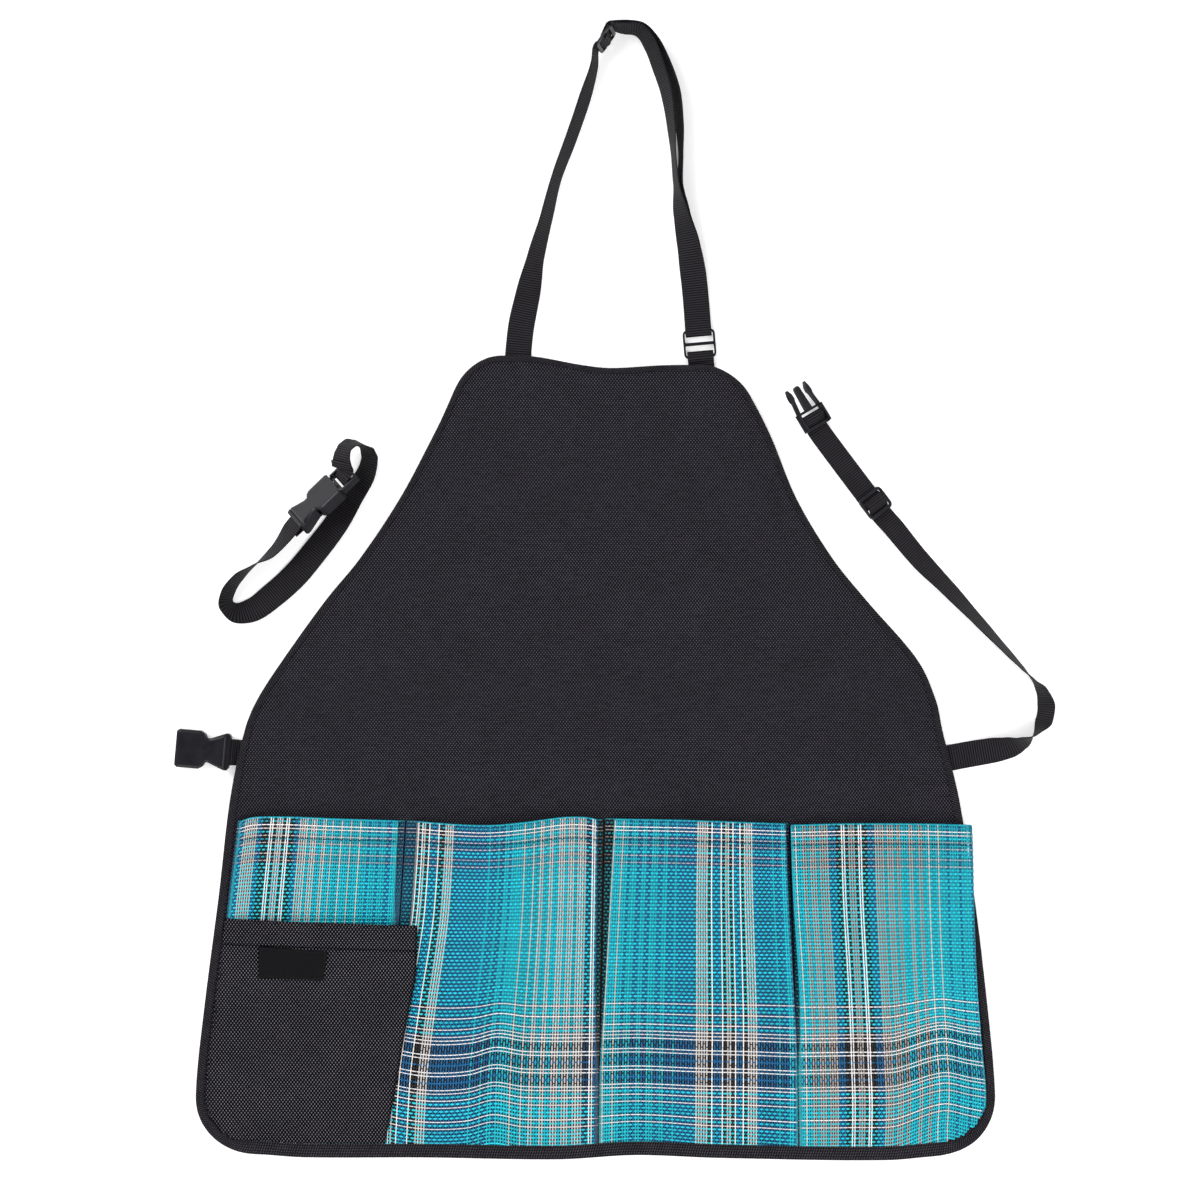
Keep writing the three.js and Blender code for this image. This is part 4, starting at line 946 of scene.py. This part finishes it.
def mesh_surface(pocket, t, columns):
    """Middle surface of a mesh pocket at rows t: left pleat, crowned front of some columns, right pleat."""
    t = np.asarray(t, float)[:, None]
    y = lerp(MESH_FOOT_Y, pocket["mouth"], t)
    lift = mesh_lift(pocket, t)
    fold_lift = FOLD_SHARE * lift
    opened = smoothstep(t, *pocket["opens"])
    share = (np.arange(PLEAT_YARNS) + 0.5)[None, :] / PLEAT_YARNS

    def pleat(side, inward):
        seam = side["seam"](y, t)
        fold = side["fold"](y, t)
        tuck = lerp((seam + fold) / 2, seam + inward * side["tuck"], opened)
        x = np.where(share < 0.5, lerp(seam, tuck, share * 2), lerp(tuck, fold, share * 2 - 1))
        tucked = TUCK_SHARE * fold_lift
        rise = np.where(share < 0.5, lerp(0.0, tucked, share * 2), lerp(tucked, fold_lift, share * 2 - 1))
        return x, rise, fold

    left_x, left_rise, left_fold = pleat(pocket["left"], 1.0)
    right_x, right_rise, right_fold = pleat(pocket["right"], -1.0)
    u = (np.arange(columns) + 0.5)[None, :] / columns
    crown = np.sin(math.pi * u) ** CROWN_POWER
    front_rise = lerp(fold_lift, lift, crown)
    x = np.concatenate([left_x, lerp(left_fold, right_fold, u), right_x[:, ::-1]], axis=1)
    rise = np.concatenate([left_rise, front_rise, right_rise[:, ::-1]], axis=1)
    ends = np.ones((1, PLEAT_YARNS))
    whole_u = np.concatenate([0 * ends, u, ends], axis=1)
    low_rise = table_value(pocket["waves"]["low"], "u", "rise", whole_u)
    mouth_rise = table_value(pocket["waves"]["mouth"], "u", "rise", whole_u)
    low_share = table_value(LOW_WAVE_SHARE, "t", "share", t)
    y = y + low_rise * low_share + mouth_rise * smoothstep(t, MOUTH_WAVE_FROM, 1.0)
    points = np.stack([x, y, mesh_bed(x, y) + rise], axis=-1)
    for _ in range(2):
        points[:, 1:-1] = points[:, :-2] / 4 + points[:, 1:-1] / 2 + points[:, 2:] / 4
    return points


def yarn_list(chart):
    """Names of the yarns in a chart of counts and colours."""
    entries = [entry.split() for entry in chart.split(", ")]
    return [name for count, name in entries for _ in range(int(count))]


def runs(kept):
    """Unbroken runs of kept places, as slices."""
    edges = np.flatnonzero(np.diff(np.concatenate([[0], kept.astype(int), [0]])))
    return [slice(a, b) for a, b in edges.reshape(-1, 2) if b - a > 2]


def yarns(centres, sides, ups, halves, colours, painted_shades, kept):
    """Yarns as three-sided prisms, only where they are kept: points, side faces, end faces and colours,
    darkened where painted shade is given.
    """
    points, quads, triangles, tints = [], [], [], []
    first = 0
    for i, colour in enumerate(colours):
        for run in runs(kept[i]):
            middle, side = centres[i, run], sides[i, run] * halves[i]
            crest = middle + ups[i, run] * YARN_HEIGHT
            points.append(np.stack([middle - side, crest, middle + side], axis=1))
            steps = len(middle)
            last = first + (steps - 1) * 3
            quads.append(grid_faces(steps, 3, wrap_columns=True)[0] + first)
            triangles += [[first, first + 2, first + 1], [last, last + 1, last + 2]]
            tint = np.tile(colour, (steps, 1))
            tint[:, :3] *= painted_shades[i, run][:, None]
            tints.append(np.repeat(tint, 3, axis=0))
            first = last + 3
    points = np.concatenate(points).reshape(-1, 3)
    return points, np.concatenate(quads), np.array(triangles), np.concatenate(tints)


def inside_binding(points, pocket):
    """Which places of a mesh pocket are above the binding of the hem and within its rounded corner."""
    x, y = points[..., 0], points[..., 1]
    kept = y > HEM_Y + MESH_CUT["hem"]
    if pocket["right"]["fold"] is puffed_edge:
        t = (y - MESH_FOOT_Y) / (pocket["mouth"] - MESH_FOOT_Y)
        edge = puffed_edge(y, t) + MESH_CUT["swell"] * (t > MESH_CUT["free_from"])
        kept &= x < edge - corner_inset(y - (HEM_Y + MESH_CUT["corner"]), MESH_CUT["radius"])
    return kept


def mesh_pocket(pocket, seed):
    """A mesh pocket woven yarn by yarn, its mouth turned over into a doubled hem."""
    chance = np.random.default_rng(seed)
    front = yarn_list(pocket["warp"])
    weft = yarn_list(WEFT)[::-1]
    rows = len(weft)
    t = (np.arange(-ROWS_UNDER_BINDING, rows) + 0.5) / rows
    weft = weft[:1] * ROWS_UNDER_BINDING + weft
    points = mesh_surface(pocket, t, len(front))
    normals = grid_normals(points)
    hem = slice(None, -HEM_ROWS_DOUBLED - 1, -1)
    points = np.concatenate([points, points[hem] - normals[hem] * HEM_TURN])
    normals = np.concatenate([normals, normals[hem]])
    weft = weft + weft[hem]
    half_pleat = PLEAT_YARNS // 2
    left, right = (pocket[side]["colours"] for side in ("left", "right"))
    warp = [name for name in left for _ in range(half_pleat)] + front
    warp += [name for name in right[::-1] for _ in range(half_pleat)]
    rows, columns = points.shape[:2]
    even = (np.arange(rows)[:, None] + np.arange(columns)) % 2 == 0
    over = np.where(even, 1.0, -1.0)[..., None]
    across = unit(np.gradient(points, axis=1))
    up = unit(np.gradient(points, axis=0))
    pressed = 1 - smoothstep(points[..., 1:2] - HEM_Y, HEM_PRESS["from_height"], HEM_PRESS["to_height"])
    points = points - UP * HEM_PRESS["depth"] * pressed
    normals_lifted = normals * (1 - HEM_PRESS["calm"] * pressed)
    kept = inside_binding(points, pocket)
    # Painted shade in the pleats: their yarns are darkened, as if in the shade of the folds
    painted_shades = np.ones((rows, columns))
    painted_shades[:, :PLEAT_YARNS] = painted_shades[:, -PLEAT_YARNS:] = PLEAT_SHADE

    def woven(names, half, over, ways, turned):
        """One set of yarns, with its half widths, where it lies over the other, and the ways across it."""
        grids = (points, normals_lifted, over, ways, normals, painted_shades, kept)
        if turned:
            grids = [np.swapaxes(grid, 0, 1) for grid in grids]
        centres, lift, over, ways, ups, shade, keep = grids
        kinds = [YARNS[name] for name in names]
        proud = column(kinds, "proud")[:, None, None]
        colours = np.array([linear(kind["colour"]) for kind in kinds])
        colours[:, :3] *= chance.uniform(*YARN_TONES, (len(names), 1))
        centres = centres + lift * (over * YARN_WAVE * (1 - proud) + PROUD_RISE * proud)
        return yarns(centres, ways, ups, column(kinds, half), colours, shade, keep)

    warp_set = woven(warp, "along", over, across, turned=True)
    weft_set = woven(weft, "across", -over, up, turned=False)
    if facing_out(warp_set[0], warp_set[1]) != facing_out(weft_set[0], weft_set[1]):
        weft_set = (weft_set[0], weft_set[1][:, ::-1], weft_set[2][:, ::-1], weft_set[3])
    count = len(warp_set[0])
    piece = new_piece(
        pocket["name"].replace("pocket", "weave"),
        np.concatenate([warp_set[0], weft_set[0]]),
        np.concatenate([warp_set[1], weft_set[1] + count]),
        VINYL_MESH,
        "mesh",
        triangles=np.concatenate([warp_set[2], weft_set[2] + count]),
        colours=np.concatenate([warp_set[3], weft_set[3]]),
    )
    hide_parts(pocket["name"])
    hem_row = mesh_surface(pocket, [HEM_STITCHES], len(front))[0]
    line = hem_row[PLEAT_YARNS:-PLEAT_YARNS] + UP * (YARN_HEIGHT + YARN_WAVE)
    return [piece, stitch_row(pocket["name"] + "_hem_stitches", line, "mesh", STITCH_STAND)]


# Black pocket and patch
def black_wall(share):
    step = smoothstep(share, BLACK_HEM_FROM - BLACK_HEM_STEP, BLACK_HEM_FROM + BLACK_HEM_STEP)
    return lerp(POCKET_WALL, POCKET_HEM_WALL, step)


def black_drop(x, seam, right_fold, share):
    """How far the black pocket's rows drop towards its right side."""
    return BLACK_MOUTH_DROP * share * ((x - seam) / (right_fold - seam) - 0.5)


def black_surface(share, front_u):
    """Middle surface of the black pocket at shares of its height, and at places across its front."""
    under = POCKETS[0]
    share = np.asarray(share, float)[:, None]
    y = lerp(BLACK_FOOT_Y, BLACK_MOUTH_Y, share)
    t = np.maximum(0.0, (y - MESH_FOOT_Y) / (under["mouth"] - MESH_FOOT_Y))
    under_lift = mesh_lift(under, t)
    own = BLACK_LIFT * share**BLACK_LIFT_POWER
    clear = MESH_WALL / 2 + GAP + POCKET_WALL / 2 + GAP / 3
    raised = clear * np.clip(share / BLACK_RAISED_AT, 0.0, 1.0)
    thicker = (black_wall(share) - MESH_WALL) / 2
    seam = edge_x(y, "left", BLACK_SIDE["seam"])
    rise_x = edge_x(y, "left", BLACK_SIDE["rise"])
    fold = edge_x(y, "left", BLACK_SIDE["fold"])
    right_seam = under["right"]["fold"](y, t) - BLACK_RIGHT["seam_in"]
    right_fold = table_value(BLACK_FOLD, "share", "x", share)
    fold_rise = raised + FOLD_SHARE * under_lift
    u = np.asarray(front_u, float)[None, :]
    crown = np.sin(math.pi * np.clip(u, 0, 1)) ** CROWN_POWER
    flat = lerp(fold_rise + FOLD_SHARE * own, fold_rise + BLACK_RIGHT["fold_share"] * own, u)
    front_x = lerp(fold, right_fold, u)
    front_rise = lerp(flat, raised + under_lift + own, crown)
    right_x = right_seam + BLACK_RIGHT["rise_out"]
    right_rise = fold_rise + BLACK_RIGHT["rise_share"] * own
    left_rise = (raised + fold_rise + FOLD_SHARE * own) / 2
    x = np.concatenate([seam, rise_x, (rise_x + fold) / 2, front_x, right_x, right_seam], axis=1)
    rise = np.concatenate([0 * seam, raised, left_rise, front_rise, right_rise, fold_rise], axis=1)
    y_all = np.broadcast_to(y, x.shape)
    drop = black_drop(x, seam, right_fold, share)
    aside = (share - HEM_GROOVE["share"]) / HEM_GROOVE["width"]
    groove = HEM_GROOVE["depth"] * np.exp(-(aside**2))
    return np.stack([x, y_all - drop, mesh_bed(x, y_all) + thicker + rise - groove], axis=-1)


def black_pocket():
    rows = [np.linspace(row["start"], row["end"], row["count"])[:-1] for row in BLACK_ROWS]
    share = np.concatenate([*rows, [1.0]])
    u = np.linspace(0.0, 1.0, BLACK_COLUMNS)
    middle = black_surface(share, u)
    piece = cloth_wall("black_pocket_cloth", middle, black_wall(share), POCKET_CANVAS, "cloth")
    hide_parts("black_pocket")
    rows = []
    for name, at in (("hem", HEM_GROOVE["share"]), ("mouth", BLACK_MOUTH_STITCHES)):
        line = black_surface([at], u)[0, 3:-2]
        rows.append(stitch_row(f"black_{name}_stitches", line, "black", black_wall(at) / 2))
    side = black_surface(np.linspace(**BLACK_SIDE_STITCHES), u)
    stand = POCKET_WALL / 2 + STITCH_STAND
    for name, at in (("side", 1), ("seam", -1)):
        rows.append(stitch_row(f"black_{name}_stitches", side[:, at], "black", stand))
    return [piece, *rows]


def black_front(x, y):
    """Point on the black pocket's middle surface over a place on its front."""
    share = (y - BLACK_FOOT_Y) / (BLACK_MOUTH_Y - BLACK_FOOT_Y)
    for _ in range(4):
        seam = edge_x(lerp(BLACK_FOOT_Y, BLACK_MOUTH_Y, share), "left", BLACK_SIDE["seam"])
        drop = black_drop(x, seam, table_value(BLACK_FOLD, "share", "x", share), share)
        share = (y + drop - BLACK_FOOT_Y) / (BLACK_MOUTH_Y - BLACK_FOOT_Y)
    fold = edge_x(lerp(BLACK_FOOT_Y, BLACK_MOUTH_Y, share), "left", BLACK_SIDE["fold"])
    u = (x - fold) / (table_value(BLACK_FOLD, "share", "x", share) - fold)
    return black_surface(np.array([share]), np.array([u]))[0, 3]


def label_patch():
    corner = {name: np.array(place, float) for name, place in LABEL_CORNERS.items()}
    u, v = np.meshgrid(*(np.linspace(0, 1, count) for count in (LABEL_GRID["across"], LABEL_GRID["up"])))
    low = lerp(corner["low_left"], corner["low_right"], u[..., None])
    high = lerp(corner["high_left"], corner["high_right"], u[..., None])
    plan = lerp(low, high, v[..., None]).reshape(-1, 2)
    middle = np.array([black_front(x, y) for x, y in plan]).reshape(*u.shape, 3)
    normals = grid_normals(middle)
    normals = normals * np.sign(normals[..., 2:3])
    middle = middle + normals * (POCKET_WALL / 2 + GAP / 2 + LABEL_WALL / 2)
    piece = cloth_wall("label_cloth", middle, LABEL_WALL, SATIN, "cloth")
    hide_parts("label_patch")
    inner = middle[1:-1, 1:-1]
    line = np.concatenate([inner[0, :-1], inner[:-1, -1], inner[-1, :0:-1], inner[::-1, 0]])
    return [piece, stitch_row("label_stitches", line, "label", LABEL_WALL / 2)]


# Webbing
def direction(degrees):
    turn = math.radians(degrees)
    return np.array([math.cos(turn), math.sin(turn), 0.0])


def rolled_across(along, roll):
    side = unit(np.cross(UP, along))
    return side * math.cos(math.radians(roll)) + UP * math.sin(math.radians(roll))


def fitting_axes(part):
    """Place of a hard part, and its ways along the strap, across it and square to both."""
    along = direction(part["heading"])
    across = rolled_across(along, part["roll"])
    return np.array([part["x"], part["y"], part["z"]], float), along, across, np.cross(along, across)


def neighbours(rows, i):
    return rows[max(i - 1, 0)], rows[min(i + 1, len(rows) - 1)]


def in_fitting(part, route):
    """Places on a strap within a hard part: distance along it, and height square to it."""
    origin, along, across, normal = fitting_axes(part)
    return [(origin + along * distance + normal * height, across) for distance, height in route]


def over_surface(rows, lift="lift"):
    """Places on a strap that lies on the surface, resting on its lower edge."""
    places = []
    for i, row in enumerate(rows):
        before, after = neighbours(rows, i)
        along = unit(np.array([after["x"] - before["x"], after["y"] - before["y"], 0.0]))
        roll = math.radians(row["roll"])
        rest = WEBBING_WIDTH / 2 * abs(math.sin(roll)) + WEBBING_WALL / 2 * abs(math.cos(roll))
        under = (LAYER + row["spread"]) * abs(math.cos(roll)) if "spread" in row else 0.0
        height = SURFACE_CLEAR + rest + under + row.get(lift, 0.0)
        places.append((np.array([row["x"], row["y"], height]), rolled_across(along, row["roll"])))
    return places


def doubled_back(places, rows):
    """The second layer of a doubled strap, back along the first on its under side."""
    under = []
    for i, (point, across) in enumerate(places):
        (before, _), (after, _) = neighbours(places, i)
        normal = unit(np.cross(unit(after - before), across))
        under.append((point - normal * (LAYER + rows[i]["spread"]), across))
    return under[::-1]


def centripetal(points, step):
    """A smooth line through points, with the share of the way between two points at each place on it."""
    padded = np.concatenate([[2 * points[0] - points[1]], points, [2 * points[-1] - points[-2]]])
    line, at = [], []
    for i in range(len(points) - 1):
        p0, p1, p2, p3 = padded[i:i + 4]
        d0, d1, d2 = (max(np.linalg.norm(b - a), 1e-4) ** 0.5 for a, b in ((p0, p1), (p1, p2), (p2, p3)))
        start = ((p1 - p0) / d0 - (p2 - p0) / (d0 + d1) + (p2 - p1) / d1) * d1
        end = ((p2 - p1) / d1 - (p3 - p1) / (d1 + d2) + (p3 - p2) / d2) * d1
        count = max(3, int(np.linalg.norm(p2 - p1) / step))
        t = np.arange(count)[:, None] / count
        line.append(between(p1, start, p2, end, t))
        at.append(i + t[:, 0])
    return np.concatenate([*line, points[-1:]]), np.concatenate([*at, [len(points) - 1.0]])


RIB_HEIGHT = 0.11
RIB_STEP = RIB / 3
STRAP_STEP = 1.0
# Section of the webbing: share of its half width, share of its half wall, and how much the ribs show
WEBBING_SECTION = table(
    "wide high ribs",
    (-1.0, -0.45, 0.3), (-0.975, -0.9, 0.8), (-0.93, -1.0, 1.0), (-0.35, -1.0, 1.0), (0.35, -1.0, 1.0),
    (0.93, -1.0, 1.0), (0.975, -0.9, 0.8), (1.0, -0.45, 0.3), (1.0, 0.45, 0.3), (0.975, 0.9, 0.8),
    (0.93, 1.0, 1.0), (0.35, 1.0, 1.0), (-0.35, 1.0, 1.0), (-0.93, 1.0, 1.0), (-0.975, 0.9, 0.8),
    (-1.0, 0.45, 0.3),
)


def strap(name, node, places):
    """Ribbed webbing along its places."""
    rough, at = centripetal(np.array([point for point, _ in places]), STRAP_STEP)
    turns = np.array([across for _, across in places])
    run = distances(rough)
    even = np.arange(0.0, run[-1], RIB_STEP)
    middle = places_along(rough, run, even)
    station = np.interp(even, run, at)
    i = np.clip(station.astype(int), 0, len(turns) - 2)
    way = station - i
    across = lerp(turns[i], turns[i + 1], (smoothstep(way, 0.0, 1.0) * 0.5 + way * 0.5)[:, None])
    along = unit(np.gradient(middle, axis=0))
    across = unit(across - along * np.sum(across * along, axis=1, keepdims=True))
    normal = unit(np.cross(along, across))
    rib = RIB_HEIGHT * np.cos(2 * math.pi * even / RIB)
    sections = []
    for row in WEBBING_SECTION:
        height = row["high"] * WEBBING_WALL / 2 + np.sign(row["high"]) * row["ribs"] * rib
        sections.append(middle + across * (row["wide"] * WEBBING_WIDTH / 2) + normal * height[:, None])
    sections = np.stack(sections, axis=1)
    count, around = sections.shape[:2]
    faces, grid = grid_faces(count, around, wrap_columns=True)
    wide = column([*WEBBING_SECTION, WEBBING_SECTION[0]], "wide") * WEBBING_WIDTH / 2
    cloth = np.stack([even[grid[..., 0]], wide[grid[..., 1]]], axis=-1)
    piece = new_piece(name, sections.reshape(-1, 3), faces, WEBBING, "webbing",
                      triangles=end_caps(count, around), places=cloth)
    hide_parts(node)


def straps():
    down = over_surface(NECK_RIGHT_RUN)
    neck = [
        *over_surface(NECK_LEFT_RUN),
        *in_fitting(NECK_SLIDER, SLIDER_PASS),
        *down,
        *in_fitting(NECK_LINK, LINK_TOP_WRAP),
        *doubled_back(down, NECK_RIGHT_RUN)[:-1],
        *in_fitting(NECK_SLIDER, SLIDER_RETURN),
    ]
    neck_tab = [
        *over_surface(NECK_TAB_RUN)[::-1],
        *in_fitting(NECK_LINK, LINK_LOW_WRAP),
        *over_surface(NECK_TAB_RUN, "upper"),
    ]
    waist_tab = [
        *over_surface(WAIST_TAB_RUN)[::-1],
        *in_fitting(WAIST_FEMALE, FEMALE_WRAP),
        *over_surface(WAIST_TAB_RUN, "upper"),
    ]
    waist = [
        *over_surface(WAIST_RUN),
        *in_fitting(WAIST_SLIDER, SLIDER_PASS[1:]),
        *in_fitting(WAIST_MALE, MALE_WRAP),
        *in_fitting(WAIST_SLIDER, SLIDER_RETURN),
    ]
    extender = [
        *in_fitting(EXTENDER_FEMALE, EXTENDER_END),
        *in_fitting(EXTENDER_FEMALE, FEMALE_WRAP),
        *in_fitting(EXTENDER_FEMALE, EXTENDER_START),
        *over_surface(EXTENDER_RUN),
        *in_fitting(EXTENDER_MALE, EXTENDER_WRAP),
        *over_surface(EXTENDER_TAIL),
    ]
    routes = dict(neck_strap=neck, neck_tab=neck_tab, waist_tab=waist_tab, waist_strap=waist,
                  extender_strap=extender)
    for node, places in routes.items():
        strap(node + "_webbing", node, places)


HARD_PARTS = ["neck_slider", "neck_link", "waist_slider", "waist_buckle_male", "waist_buckle_female",
              "extender_buckle_male", "extender_buckle_female"]
EDGE_BEVEL = 0.9
EDGE_ANGLE = 35


def hard_parts():
    """Moulded parts keep their solids, with rounded edges and a plastic finish."""
    for name in HARD_PARTS:
        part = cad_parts[name]
        part.data.materials.clear()
        part.data.materials.append(PLASTIC)
        bevel = part.modifiers.new("rounded_edges", "BEVEL")
        bevel.width = EDGE_BEVEL * MM
        bevel.segments = 3
        bevel.limit_method = "ANGLE"
        bevel.angle_limit = math.radians(EDGE_ANGLE)
        bevel.harden_normals = True


def socket_face(name, part):
    """Raised face of a socket half: sloping edges, and a ramp up to the end that the strap enters."""
    relief = SOCKET_RELIEF
    stations, widths = column(SOCKET_FACE, "along"), column(SOCKET_FACE, "half")
    far = np.linspace(stations[0], stations[-1], SOCKET_GRID["along"])[:, None]
    half = np.interp(far, stations, widths)
    u = np.sin(np.linspace(-math.pi / 2, math.pi / 2, SOCKET_GRID["across"]))[None, :]
    inside = np.minimum((1 - np.abs(u)) * half, np.minimum(far - stations[0], stations[-1] - far))
    high = relief["high"] + relief["ramp"] * smoothstep(far, relief["ramp_from"], relief["ramp_to"])
    height = relief["base"] - relief["sunk"] + high * smoothstep(inside, 0.0, relief["slope"])
    origin, along, across, normal = fitting_axes(part)
    middle = origin + along * far[..., None] + across * (half * u)[..., None] + normal * height[..., None]
    return cloth_wall(name, middle, relief["wall"], PLASTIC, "plastic")


# Floor, light and camera
def floor():
    mesh = bpy.data.meshes.new("floor")
    half = 6.0
    corners = [(-half, -half, 0), (half, -half, 0), (half, half, 0), (-half, half, 0)]
    mesh.from_pydata(corners, [], [(0, 1, 2, 3)])
    mesh.materials.append(floor_finish("pale_floor"))
    piece = bpy.data.objects.new("floor", mesh)
    bpy.context.scene.collection.objects.link(piece)


def area_light(name, place, size, power):
    light = bpy.data.lights.new(name, "AREA")
    light.shape = "SQUARE"
    light.size = size
    light.energy = power
    lamp = bpy.data.objects.new(name, light)
    lamp.location = place
    spread = math.hypot(place[0], place[1])
    lamp.rotation_euler = (math.atan2(spread, place[2]), 0.0, math.atan2(place[0], -place[1]))
    bpy.context.scene.collection.objects.link(lamp)


def studio():
    scene = bpy.context.scene
    scene.view_settings.view_transform = "Standard"
    world = bpy.data.worlds.new("studio")
    world.use_nodes = True
    nodes, links = world.node_tree.nodes, world.node_tree.links
    way = nodes.new("ShaderNodeSeparateXYZ")
    links.new(nodes.new("ShaderNodeTexCoord").outputs["Generated"], way.inputs[0])
    walls = nodes.new("ShaderNodeMapRange")
    links.new(way.outputs["Z"], walls.inputs[0])
    for socket, value in WALL_TO_CEILING.items():
        walls.inputs[socket].default_value = value
    links.new(walls.outputs[0], nodes["Background"].inputs["Strength"])
    nodes["Background"].inputs["Color"].default_value = (1.0, 1.0, 1.0, 1.0)
    scene.world = world
    for light in LIGHTS:
        area_light(**light)
    lens = bpy.data.cameras.new("camera")
    lens.sensor_fit = "HORIZONTAL"
    lens.lens = lens.sensor_width * CAMERA_HEIGHT / (PHOTO_WIDTH * MM)
    camera = bpy.data.objects.new("camera", lens)
    camera.location = (PHOTO_CENTRE[0] * MM, PHOTO_CENTRE[1] * MM, CAMERA_HEIGHT)
    scene.collection.objects.link(camera)
    scene.camera = camera


panel = apron_panel()
binding = edge_binding()
for number, pocket in enumerate(POCKETS):
    weave, hem = mesh_pocket(pocket, number + 1)
black, *black_rows = black_pocket()
label, label_rows = label_patch()
straps()
hard_parts()
socket_face("waist_buckle_face", WAIST_FEMALE)
socket_face("extender_buckle_face", EXTENDER_FEMALE)
floor()
studio()
